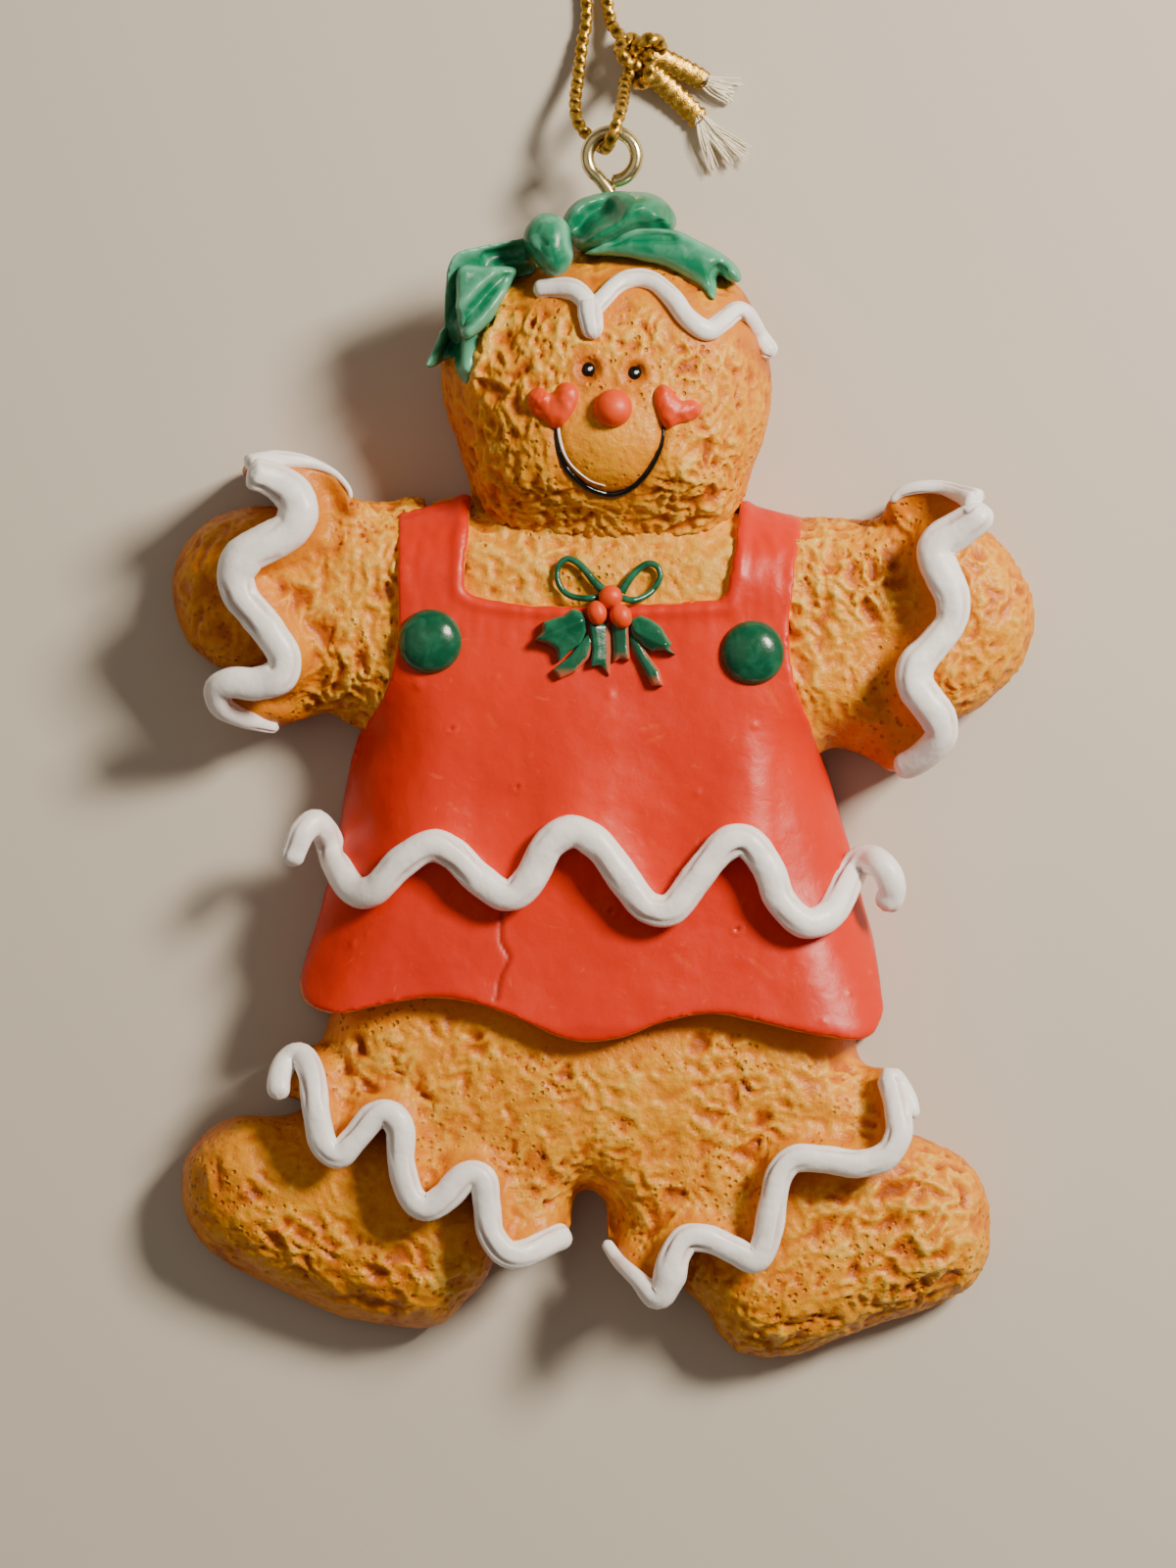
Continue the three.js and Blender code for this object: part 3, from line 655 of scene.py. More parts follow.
FOREHEAD = through(
    [
        (-6.1, 39.4), (-4.2, 39.6), (-2.5, 39.4), (-1.4, 38.4), (-0.9, 37.7), (-0.1, 38.5), (1.4, 40),
        (3.07, 40.5), (4.7, 40), (6.2, 38.6), (7.5, 36.9), (9.1, 35.9), (10.4, 36.6), (11.7, 37.6),
        (12.7, 37.1),
        (13.8, 35.2), (14.9, 33.6),
    ],
    0.25,
)
FOREHEAD_DRIP = through([(-1.3, 38.5), (-1.15, 37.4), (-0.95, 36.2), (-0.75, 35.1)], 0.25)
SKIRT = through(
    [
        (-27.4, -11), (-26.9, -9.4), (-26.2, -7.9), (-25.1, -7.2), (-24, -8.6), (-23.2, -11), (-21.7, -13.1),
        (-19.8, -12.9), (-17.7, -10.7), (-15.1, -9.2), (-13, -9.9), (-10.8, -12.1), (-8.3, -13.5),
        (-6.4, -12.1), (-4.7, -9), (-2.5, -7.9), (-0.3, -9.2), (1.8, -12), (3.9, -14.5), (6.1, -14.6),
        (8.3, -11.9), (10.5, -9.2), (12.6, -8.8), (14.4, -11), (15.6, -14), (17.7, -15.9), (20, -15),
        (21.5, -12), (22.7, -10.4), (24.4, -10.9), (25.3, -12.9), (24.6, -14.8),
    ],
    0.25,
)
# The same bead from left to right without its curled ends, for the height of the dress under it.
SKIRT_LINE = tuple(SKIRT[15:-14][np.argsort(SKIRT[15:-14, 0])].T)
LEFT_CUFF = through(
    [
        (-31, 23.5), (-29.2, 23), (-27.4, 21.9), (-26.6, 20.4), (-27.2, 18.6), (-29.3, 17.3), (-31.2, 16.3),
        (-32.1, 14.5), (-31.6, 12.6), (-30.4, 11.1), (-28.9, 9.2), (-27.9, 7.3), (-28.3, 5.7), (-30.3, 5),
        (-32.4, 5.1), (-33.7, 4.5), (-33.3, 3), (-31.7, 2.1), (-30, 1.5), (-28.4, 1.1),
    ],
    0.25,
)
RIGHT_CUFF = through(
    [
        (33.2, 20.7), (32.7, 19.6), (31.2, 18.5), (29.6, 17.5), (29.1, 16.2), (29.8, 14.4), (30.6, 12.4),
        (30.4, 10.4), (28.9, 8.4), (27.4, 6.6), (27.3, 5), (28.2, 3.6), (29.3, 2), (29.6, 0.5), (28.5, -0.9),
        (26.9, -2), (25.5, -2.5),
    ],
    0.25,
)
LEFT_RIM = through(
    [(-31, 23.8), (-29.8, 24.3), (-28, 24.6), (-25.6, 24.3), (-23.6, 23.5), (-22.3, 22.2), (-22, 21.2)], 0.25
)
RIGHT_RIM = through([(32.8, 20.8), (31.6, 21.4), (29.8, 22.1), (28, 22.2), (26.2, 21.8), (25.2, 20.9)], 0.25)
LEFT_LEG = through(
    [
        (-28.3, -31.4), (-28.3, -29.6), (-27.7, -28.1), (-26.5, -27.5), (-25.5, -29), (-25.1, -32),
        (-24.5, -35.1), (-23.2, -36.2), (-21.8, -34.9), (-20.3, -33.1), (-18.9, -32.6), (-17.7, -34),
        (-17.6, -36.8), (-16.9, -39.6), (-15.5, -40.8), (-13.7, -39.8), (-11.9, -38), (-10.5, -38.4),
        (-10.1, -40.7), (-9.8, -43.1), (-8.4, -44.8), (-6.5, -44.7), (-4.6, -43.7), (-2.9, -43),
    ],
    0.25,
)
RIGHT_LEG = through(
    [
        (0.2, -43.7), (1.4, -45.5), (3, -47), (4.7, -48.6), (5.7, -47.2), (6.3, -45), (7.4, -43.5),
        (9.4, -43.6),
        (11.4, -44.5), (13.3, -45.3), (14.3, -43.6), (14.9, -40.4), (15.5, -37.8), (16.9, -36.5),
        (19.4, -36.6),
        (22.2, -37), (24.7, -36.3), (25.9, -34.4), (25.7, -31.9), (25.1, -29.6), (26, -30.2), (26.9, -31.6),
        (27.3, -33),
    ],
    0.25,
)


# ---------------------------------------------------------------- bread


def lip(xy, route, lift, width):
    """How far a ruffled edge curls up towards its icing, out of a shallow valley."""
    away = reach(xy, route)
    return lift * bell(away, width) - 0.3 * lift * bell(away - 3.1, 1.2)


def tucked(xy):
    """How far the inner ends of the sleeves sink, to pass under the straps."""
    return 1.4 / (1 + np.exp((np.abs(xy[:, 0]) - 16) * 3))


def left_sleeve_top(xy):
    """The left sleeve, curled up to its cuff and rim."""
    return arm_top(xy) - tucked(xy) + lip(xy, LEFT_CUFF, 1.9, 1.9) + 2.4 * bell(reach(xy, LEFT_RIM), 1.5)


def right_sleeve_top(xy):
    """The right sleeve, curled up to its cuff and rim."""
    return arm_top(xy) - tucked(xy) + lip(xy, RIGHT_CUFF, 1.9, 1.9) + 2.4 * bell(reach(xy, RIGHT_RIM), 1.5)


def away_from(*routes, width=2.6, start=1.6):
    """0 next to ruffled edges, which are smooth, rising to 1 on open crust."""
    def calm(points):
        near = np.minimum.reduce([reach(points, route) for route in routes])
        return np.clip((near - start) / width, 0, 1)
    return calm


def make_sleeves(bread):
    """Two puffed sleeves with smooth flared cuffs."""
    left = through(
        [
            (-15.5, 20.6), (-18.6, 20.7), (-21.7, 21), (-22.3, 22.4), (-23.8, 23.7), (-26.4, 24.5),
            (-29, 24.7), (-31.4, 23.8), (-30, 22.4), (-27.6, 20.6), (-26.8, 19.4), (-27.6, 18.4), (-30, 17.2),
            (-32, 14.8), (-31.4, 12.4), (-29.4, 9.8), (-27.9, 7.4), (-28.3, 5.6), (-31, 5), (-33.2, 4.2),
            (-31.6, 2.4), (-28.6, 1.2), (-26, 2), (-23.8, 2.4), (-21.4, 1.2), (-18, 0), (-15.5, 4),
            (-15.4, 12),
        ],
        0.5,
        closed=True,
    )
    right = through(
        [
            (14.6, 19.3), (18, 19.5), (21.5, 19.5), (24.2, 19.5), (25, 21), (26.8, 22), (29.4, 22.4),
            (32, 21.8), (33.2, 20.4), (32.2, 19), (30, 17.8), (29, 16.2), (29.6, 14.2), (30.5, 12.2),
            (29.8, 9.6), (27.6, 7), (27.3, 5), (28.6, 3), (29.5, 0.8), (28.4, -1.2), (25.4, -2.7),
            (23.6, -1.6),
            (21.6, -0.7), (19.8, -0.6), (16, -2), (14, 4), (14.2, 12),
        ],
        0.5,
        closed=True,
    )

    def left_calm(points):
        flare = np.clip((21.6 - points[:, 1]) / 1.2, 0, 1)
        return away_from(LEFT_CUFF)(points) * np.maximum(flare, points[:, 0] > -21.8)

    def right_calm(points):
        flare = np.clip((20 - points[:, 1]) / 1, 0, 1)
        low = np.clip((points[:, 1] - 1) / 4, 0.25, 1)
        return away_from(RIGHT_CUFF, width=4)(points) * np.maximum(flare, points[:, 0] < 24) * low

    for name, outline, top, calm, lean, shift in (
        ("sleeve_left", left, left_sleeve_top, left_calm, 72, 0),
        ("sleeve_right", right, right_sleeve_top, right_calm, 125, 31),
    ):
        piece = relief(name + "_crust", outline, top, BREAD_GRAIN * 0.87, softness=3)
        crust(piece, depth=1.35, calm=calm, shift=shift, lean=lean)
        finish(piece, bread, name)


def make_hands(bread):
    """Two round hands that come out of the cuffs; the left one is calmer."""
    left = through(
        [
            (-25.5, 19), (-30, 20.6), (-34.4, 19.3), (-37, 16.4), (-37.7, 12.8), (-36.4, 8.8), (-33.4, 6.3),
            (-29, 5.6), (-25, 8),
        ],
        0.5,
        closed=True,
    )
    right = through(
        [
            (25.5, 17.6), (31.8, 18.9), (35, 17), (37.2, 13.6), (37.7, 10.4), (36.6, 6.8), (33.8, 3.5),
            (30.4, 1.9), (26, 3),
        ],
        0.5,
        closed=True,
    )
    for name, outline, depth, shift in (("hand_left", left, 0.5, 40), ("hand_right", right, 1, 60)):
        def top(xy, outline=outline):
            return 2 + 5.7 * swell(reach(xy, outline, closed=True), 5)
        piece = relief(name + "_crust", outline, top, BREAD_GRAIN)
        # Painted shade: the whole left hand is darkened, as though it lay in shadow.
        wash = (lambda p: 0.14) if depth < 1 else None
        crust(piece, depth=depth, shift=shift, lean=60, long=1.3, wash=wash)
        finish(piece, bread, name)


def make_torso(bread):
    """The chest that shows between the straps, and the block under the dress."""
    outline = through(
        [
            (-15.2, 20.4), (-11.4, 21.4), (-9.4, 25), (0, 26), (9.8, 25), (11.6, 20.8), (14.4, 19.4),
            (14.6, 12), (15, 2), (16.6, -6), (17.4, -14),
            (17.4, -19), (-19, -19), (-18.6, -12), (-17, -4), (-15.4, 2), (-15.2, 10),
        ],
        0.5,
        closed=True,
    )
    piece = relief("torso_crust", outline, chest_top, BREAD_GRAIN)
    crust(piece, depth=0.85, calm=lambda p: np.where(p[:, 1] > 10, 1, 0.1), shift=77, lean=165, long=1.5,
          wash=lambda p: np.full(len(p), -0.14))
    finish(piece, bread, "torso")


# The sides of the pantaloons and the gap between the legs.
LEFT_HIP = through([(-22.4, -12), (-24, -24), (-24.8, -26.4), (-28.6, -27.6), (-33, -31)], 0.5)
RIGHT_HIP = through([(21.4, -12), (21.9, -25), (22.6, -27.6), (25.2, -28.2), (30, -29.6)], 0.5)
CROTCH = through(
    [(-6, -52), (-3.4, -43.4), (-2.4, -40), (-1.3, -39), (0.3, -40.2), (0.9, -43), (-1, -52)], 0.4
)


def pants_top(xy):
    """Full pantaloons, curled up to the icing of both legs."""
    sides = np.minimum(reach(xy, LEFT_HIP), reach(xy, RIGHT_HIP))
    body = 2.4 + 6.6 * np.minimum(swell(sides, 6), swell(reach(xy, CROTCH), 4.2))
    belly = 1.2 * bell(np.hypot(xy[:, 0] / 18, (xy[:, 1] + 30) / 10), 1)
    return body + belly + lip(xy, LEFT_LEG, 1.5, 1.5) + lip(xy, RIGHT_LEG, 1.5, 1.5)


def make_pantaloons(bread):
    """The pantaloons in one piece, smooth beside the beads and creased at the hips."""
    outline = through(
        [
            (-22.6, -20.4), (-23.9, -24.2), (-24.6, -26.3), (-26.4, -27), (-28, -28.2), (-28.4, -30.6),
            (-26, -31.6), (-25, -33.8), (-23.4, -35.8), (-21.6, -34.6), (-19.4, -32.6), (-17.8, -33.8),
            (-17.4, -37.4), (-16.2, -40.2), (-14.4, -40), (-11.6, -38), (-10.3, -39.2), (-9.9, -42.6),
            (-8.2, -44.5), (-4.6, -43.6), (-3, -42.8), (-2.6, -39.9), (-1.4, -39.1), (0.3, -40.2),
            (0.5, -43.4), (2, -45.8), (4.8, -48.2), (5.8, -45.2), (7.4, -43.5), (12.8, -44.8), (14.5, -43.4),
            (15.1, -39.6), (17, -36.7), (22, -37), (25, -35.8), (25.7, -32), (25.2, -29), (23, -28.4),
            (22.1, -26.6), (21.8, -21), (21.2, -18.4), (19, -17.6), (8, -17.4), (-8, -17.4), (-19.6, -17.6),
            (-21.8, -18.4),
        ],
        0.4,
        closed=True,
    )
    piece = relief("pantaloons_crust", outline, pants_top, BREAD_GRAIN + 0.02, softness=3)
    folds = (
        [(-21.5, -26), (-20, -27.6), (-17.5, -27.8)],
        [(-15.5, -25), (-13.5, -26.4), (-11, -26)],
        [(-20.5, -30.4), (-17, -30.2), (-14.8, -31.6)],
        [(8.6, -26), (10.4, -27.4), (12.8, -26.8)],
    )
    smooth_edges = away_from(LEFT_LEG, RIGHT_LEG, HEM, width=1.7, start=1.1)
    crust(piece, depth=1.05, calm=smooth_edges, shift=5, lean=150, long=1.3, folds=folds)
    finish(piece, bread, "pantaloons")


def make_feet(bread):
    """Two turned-out feet; the left one is torn only along its lower edge."""
    left = through(
        [
            (-27.5, -32.6), (-31.9, -32.7), (-34.6, -33.9), (-36.6, -36.4), (-36.9, -39.4), (-35.9, -42.9),
            (-33, -45.7), (-28.5, -47.8), (-23.2, -50), (-18, -51.3), (-14.4, -51.1), (-12, -49), (-9.6, -46),
            (-8.4, -41), (-14, -35), (-22, -30),
        ],
        0.5,
        closed=True,
    )
    right = through(
        [
            (25.5, -33.8), (28.8, -35), (31.6, -36.6), (33.4, -39.4), (34, -42.8), (33.6, -45.4),
            (31.8, -47.8), (28, -49.6), (22.6, -51.5), (17.2, -53.4), (13.1, -53.8), (10.8, -52.6),
            (8.6, -49.6),
            (6.6, -46.8), (7.4, -41), (14, -35.8), (21, -32.4),
        ],
        0.5,
        closed=True,
    )
    left_folds = (
        [
            (-33.8, -36.4), (-33.2, -39.2), (-30.8, -41.4), (-28.9, -43.8), (-26.8, -46.4), (-23, -48.4),
            (-18, -49.4),
        ],
        [(-31, -38.6), (-29.6, -40.6), (-27.8, -42.4)],
        [(-24.4, -44.6), (-20.4, -46.4), (-16.4, -46.6)],
    )
    right_folds = ([(30.6, -46.6), (27, -48)], [(20.4, -50.4), (16, -51.2)])
    crumbly = through([(-30, -43), (-24.4, -44.8), (-19, -46.8), (-13.6, -47.4)], 0.5)
    for name, outline, folds, shift, lean, long in (
        ("foot_left", left, left_folds, 11, 150, 2.0),
        ("foot_right", right, right_folds, 23, 45, 1.7),
    ):
        def top(xy, outline=outline):
            return 2 + 6.4 * swell(reach(xy, outline, closed=True), 5.5)

        def calm(points, smooth=(name == "foot_left")):
            below_ruffle = away_from(LEFT_LEG, RIGHT_LEG, width=2, start=0.6)(points)
            return below_ruffle * (0.4 + 0.6 * bell(reach(points, crumbly), 3.6) if smooth else 1)
        piece = relief(name + "_crust", outline, top, BREAD_GRAIN)
        crust(piece, depth=1.15, calm=calm, shift=shift, lean=lean, long=long, folds=folds)
        finish(piece, bread, name)


EYES = ((-1.25, 32.45), (2.8, 32.15))
NOSE = (0.9, 29.1)
# The smile, drawn from the left cheek to the right one.
GRIN = through(
    [
        (-4.1, 27.8), (-4.1, 26.6), (-3.8, 25.2), (-3.2, 23.9), (-2.2, 22.8), (-1, 22), (0.3, 21.6),
        (1.5, 21.7),
        (2.7, 22.3), (3.8, 23.4), (4.7, 24.9), (5.2, 26.2), (5.3, 27.6),
    ],
    0.15,
)
# Where the left ribbon is pressed in, the bread beside it stands up a little.
RIBBON_LEDGE = through([(-8.2, 40), (-8.8, 38.4), (-9.4, 36.6), (-10.5, 34.4), (-11.4, 31.2)], 0.3)


def make_head(bread):
    """The head with its eye sockets, lids, muzzle and mouth groove. Gives back the head's height."""
    def face(xy):
        sockets = sum(0.55 * bell(np.hypot(xy[:, 0] - x, xy[:, 1] - y), 0.95) ** 2 for x, y in EYES)
        lids = sum(0.28 * bell(np.hypot(xy[:, 0] - x, xy[:, 1] - y) - 1.35, 0.4) for x, y in EYES)
        mouth = 0.5 * bell(reach(xy, GRIN), 0.38)
        muzzle = 0.7 * bell(np.hypot((xy[:, 0] - 0.6) / 4.4, (xy[:, 1] - 25.6) / 3.8), 1)
        ledge = 1.0 * bell(reach(xy, RIBBON_LEDGE), 0.6)
        return head_top(xy) - sockets + lids - mouth + muzzle + ledge
    piece = relief("head_crust", HEAD_EDGE, face, BREAD_GRAIN * 0.92, height=14, softness=3)

    def calm(points):
        muzzle = np.hypot((points[:, 0] - 0.6) / 4.8, (points[:, 1] - 26.6) / 5.2)
        eyes = np.minimum.reduce([np.hypot(points[:, 0] - x, points[:, 1] - y) for x, y in EYES])
        icing = np.clip((reach(points, FOREHEAD) - 1.1) / 1.5, 0.1, 1)
        return np.minimum(np.clip(np.minimum((muzzle - 0.85) * 2.2, (eyes - 1.3) * 0.8), 0.22, 1), icing)

    def wash(points):
        eyes = np.minimum.reduce([np.hypot(points[:, 0] - x, points[:, 1] - y) for x, y in EYES])
        muzzle = bell(np.hypot((points[:, 0] - 0.6) / 4.4, (points[:, 1] - 26.2) / 5), 1)
        # Painted shade: the head's left side, away from the light, is darkened.
        shade = 0.1 * np.clip(-points[:, 0] / 12, 0, 1)
        ledge = 0.4 * bell(reach(points, RIBBON_LEDGE), 0.7)
        return 0.4 * bell(eyes, 1.05) + 0.3 * bell(reach(points, GRIN), 0.45) - 0.22 * muzzle + shade - ledge
    crust(piece, depth=1.15, calm=calm, shift=2, lean=100, long=1.5, wash=wash)
    finish(piece, bread, "head")
    return surface_of(piece, head_top)


# ---------------------------------------------------------------- dress and buttons

HEM = through(
    [
        (-26.4, -21.2), (-26.1, -22.6), (-24.8, -23.5), (-22.8, -23.8), (-19.4, -23.1), (-15.2, -22.4),
        (-11.5, -22.8), (-7.5, -24.3), (-4, -25.9), (-1.4, -26.4), (2, -25.9), (5.8, -24.4), (9.6, -23.8),
        (13.4, -24.4), (17.6, -25.5), (21.6, -26.1), (23.6, -25.6), (24.5, -23.6),
    ],
    0.4,
)


def make_dress(red):
    """The dress with its rolled neck, hem, crack, craters and scratches. Gives back the dress's height."""
    left = through(
        [
            (-17.9, 19.9), (-17.8, 15), (-17.9, 9.6), (-18.5, 6.2), (-20, 2.6), (-21.4, 0.2), (-22.7, -5),
            (-23.6, -10), (-24.8, -15.6), (-26, -19.4), (-26.4, -21.2),
        ],
        0.5,
    )
    right = through(
        [
            (24.5, -23.6), (23.8, -18.4), (22.4, -12), (21, -7.4), (19.6, -2.8), (18.2, 1.4), (16.8, 5),
            (16.3, 9.5), (16.8, 14), (17.4, 19.3),
        ],
        0.5,
    )
    strap_right = through([(12, 21), (11.5, 16.5), (10.9, 12.4)], 0.5)
    strap_left = through([(-12.2, 13.4), (-12, 17), (-11.7, 21.4)], 0.5)
    neck = through(
        [(10.8, 12.1), (8, 12), (3, 11.8), (-3, 11.7), (-8, 12.1), (-11.2, 12.7), (-12.1, 13.2)], 0.5
    )
    outline = np.concatenate([left[:-1], HEM[:-1], right, strap_right[:-1], neck[1:-1], strap_left])

    def underside(xy):
        return np.clip(chest_top(xy) - 2.2, 0.6, None) * 0.25

    piece = relief("satin_dress", outline, dress_top, DRESS_GRAIN, low=underside, softness=2)
    points = points_of(piece)
    normals = normals_of(piece)
    facing = normals[:, 2]
    hem = reach(points, HEM)
    rims = np.minimum.reduce([reach(points, line) for line in (neck, strap_left, strap_right)])
    flanks = np.minimum(reach(points, left), reach(points, right))
    slow = noise_at(points, 9, 4) * 0.25 + noise_at(points, 3.2, 9) * 0.09
    bead = 0.2 * bell(rims - 0.6, 0.55)
    bodice = np.clip((points[:, 1] - 7) / 4, 0, 1)
    brushed = 0.09 * noise_at(points * (1, 0.3, 1), 0.9, 33) * bodice + 0.03 * noise_at(points, 1.3, 35)
    cells = [noise.voronoi(Vector(p)) for p in (points / 2.7 + 13)]
    near = np.array([c[0][0] for c in cells]) * 2.7
    kind = np.array([math.sin(57.1 * c[1][0].x + 31 * c[1][0].y) for c in cells])
    specks = bell(near, 0.2) * (kind > 0.72) * (facing > 0.3)
    craters = (bell(near - 0.36, 0.16) * 0.6 - bell(near, 0.26)) * (kind < -0.86) * (facing > 0.3)
    crack = through([(-8.8, -15.2), (-8.9, -17.4), (-8.2, -19), (-8.9, -20.6), (-9.3, -22.6)], 0.2)
    split = bell(reach(points, crack), 0.17) * (facing > 0.3)
    scratches = (
        [(3.4, 1.1), (5, 1.5)], [(4, 0), (5.4, 0.55)], [(14.4, 4.8), (15.6, 2.7)],
        [(-10, 2.4), (-9.2, 1.3)], [(13, -19), (14.8, -20.6)], [(6.4, -18.6), (7.6, -19.6)],
    )
    scored = np.maximum.reduce([bell(reach(points, line), 0.13) for line in scratches]) * (facing > 0.3)
    move_points(piece, points + normals * (slow + bead + brushed + 0.14 * specks + 0.2 * craters - 0.2 * split
                                           - 0.05 * scored)[:, None])
    # Painted shade for the crack, the craters and the low dips of the surface.
    store(piece, "hollow", 0.6 * np.clip(-craters, 0, 1) + 0.75 * split + 0.14 * np.clip(-slow * 4, 0, 1))
    wall = np.clip(0.9 - facing, 0, 0.4) * 3
    wall *= points[:, 2] < dress_top(points) - 0.3
    bare = np.maximum.reduce([bell(hem, 0.3), bell(rims, 0.22), bell(flanks, 0.2) * (points[:, 1] > 2)])
    store(piece, "edge", wall * bare * (points[:, 2] > 4) + 0.12 * scored + 0.1 * specks * (points[:, 1] < 8))
    finish(piece, red, "dress")
    return surface_of(piece, dress_top)


def ball(name, segments, rings, shape, place):
    """A sphere given its shape by a function of unit-sphere points, in millimetres, and set down at place."""
    clear_selection()
    bpy.ops.mesh.primitive_uv_sphere_add(segments=segments, ring_count=rings, radius=MM, location=(0, 0, 0))
    piece = bpy.context.object
    piece.name = name
    unit = points_of(piece)
    move_points(piece, shape(unit) + place)
    return piece, unit


def make_buttons(green, dress):
    """Two flattened dome buttons on the straps."""
    for name, x, y in (("button_left", -15.1, 8.7), ("button_right", 13.1, 7.7)):
        def dome(unit):
            flat = np.sign(unit[:, 2]) * np.abs(unit[:, 2]) ** 0.86
            wobble = 1 + 0.012 * noise_at(unit, 0.8, 5)
            return np.stack(
                [2.8 * unit[:, 0] * wobble, 2.85 * unit[:, 1] * wobble, 1.7 * np.maximum(flat, -0.25)], 1
            )
        piece, unit = ball(name + "_dome", 48, 24, dome, (x, y, at(dress, x, y) - 0.1))
        store(piece, "edge", 0.3 * np.clip(0.4 - unit[:, 2], 0, 1) * 2)
        finish(piece, green, name)


# ---------------------------------------------------------------- icing


def unroll(points, route, sides):
    """For each point of a strand: its ring's index, and its angle around it with the top at 90 degrees."""
    ring = np.minimum(np.arange(len(points)) // sides, len(route) - 1)
    ahead = np.gradient(route, axis=0)
    ahead /= np.linalg.norm(ahead, axis=1)[:, None]
    level = np.cross(ahead, (0, 0, 1))
    level /= np.maximum(np.linalg.norm(level, axis=1), 1e-6)[:, None]
    upright = np.cross(level, ahead)
    off = points - route[ring]
    return ring, np.arctan2((off * upright[ring]).sum(1), (off * level[ring]).sum(1))


def pipe(name, route, radii, top, node, material, sink=0.3, start=True, end=True, shift=0.0):
    """A piped bead, sunk a little into the surface top, its crown slightly flattened, with a crease that
    comes and goes along each flank. radii are spread evenly from its start to its end."""
    spacing = 0.25
    sides = 40
    share = np.linspace(0, 1, len(route))
    size = np.interp(share, np.linspace(0, 1, len(radii)), radii)
    z = top(route[:, :2]) + size * (1 - sink)
    z = np.convolve(np.pad(z, 6, mode="edge"), np.ones(13) / 13, mode="valid")
    path = np.stack([route[:, 0], route[:, 1], z], 1)
    along = np.stack([share * len(route) * spacing, 0 * z, 0 * z], 1)
    pulse = 1 + 0.06 * noise_at(along, 2.4, shift + 5)
    piece = rope(name, path, size * pulse * end_taper(len(path), spacing, size.min(), start, end), sides)
    points = points_of(piece)
    normals = normals_of(piece)
    ring, around = unroll(points, path, sides)
    radius = size[ring]
    crease = np.zeros(len(points))
    for flank, seed in ((0.75, 40), (2.45, 60)):
        wander = noise_at(along, 4, shift + seed)[ring] * 0.3
        shown = np.clip(noise_at(along, 5, shift + seed + 9)[ring] * 3 + 0.2, 0, 1)
        crease = np.maximum(crease, bell(around - flank - wander, 0.15) * shown)
    crown = bell(around - math.pi / 2, 0.8)
    lumps = noise_at(points, 2.1, shift + 3)
    grain = noise_at(points, 0.6, shift + 9)
    rise = radius * (0.07 * lumps + 0.02 * grain - 0.1 * crown - 0.3 * crease)
    move_points(piece, points + normals * rise[:, None])
    # Painted shade: the bead is tinted grey-pink in its creases, on its underside and in its low lumps.
    under = np.clip(0.2 - normals[:, 2], 0, 1) * 0.45
    store(piece, "hollow", 0.8 * crease + under + 0.1 * np.clip(-lumps, 0, 1))
    finish(piece, material, node)


def make_icing(icing, head):
    """All beads: skirt, cuffs, legs and forehead, with the drip and the two thin cuff rims."""
    pipe("skirt_bead", SKIRT, [1.05, 1.3, 1.42, 1.4, 1.45, 1.45, 1.42, 1.45, 1.4, 1.35, 1.2], dress_top,
         "icing_skirt", icing, sink=0.28)
    pipe("left_cuff_bead", LEFT_CUFF, [1.35, 1.75, 1.75, 1.8, 1.55, 1.5, 1.55, 1.4, 0.95, 0.5],
         left_sleeve_top, "icing_sleeve_left", icing, sink=0.35, shift=4)
    pipe("right_cuff_bead", RIGHT_CUFF, [1.4, 1.7, 1.7, 1.6, 1.35, 1.55, 1.7, 1.6, 1.3, 1.2],
         right_sleeve_top, "icing_sleeve_right", icing, sink=0.35, shift=8)
    pipe("left_leg_bead", LEFT_LEG, [0.95, 1.2, 1.25, 1.2, 1.3, 1.2, 1.35, 1.2, 1.25, 1.15], pants_top,
         "icing_leg_left", icing, shift=12)
    pipe("right_leg_bead", RIGHT_LEG, [0.5, 0.75, 1.5, 1.25, 1.2, 1.3, 1.2, 1.25, 1.25, 1.2, 1.1, 0.5],
         pants_top, "icing_leg_right", icing, shift=16)
    pipe("forehead_bead", FOREHEAD, [0.85, 0.95, 0.8, 0.85, 0.85, 0.9, 0.9, 0.8, 0.95], head,
         "icing_forehead", icing, sink=0.4, shift=20)
    pipe("forehead_drip", FOREHEAD_DRIP, [0.95, 1.12, 1.0, 0.72], head, [], icing, sink=0.45, start=False,
         shift=24)
    pipe("left_cuff_rim", LEFT_RIM, [1.15, 0.95, 0.8, 0.55, 0.35, 0.25, 0.2], left_sleeve_top, [], icing,
         sink=0.5, shift=28)
    pipe("right_cuff_rim", RIGHT_RIM, [1.2, 0.8, 0.62, 0.58, 0.5, 0.3], right_sleeve_top, [], icing, sink=0.5,
         shift=33)


# ---------------------------------------------------------------- face


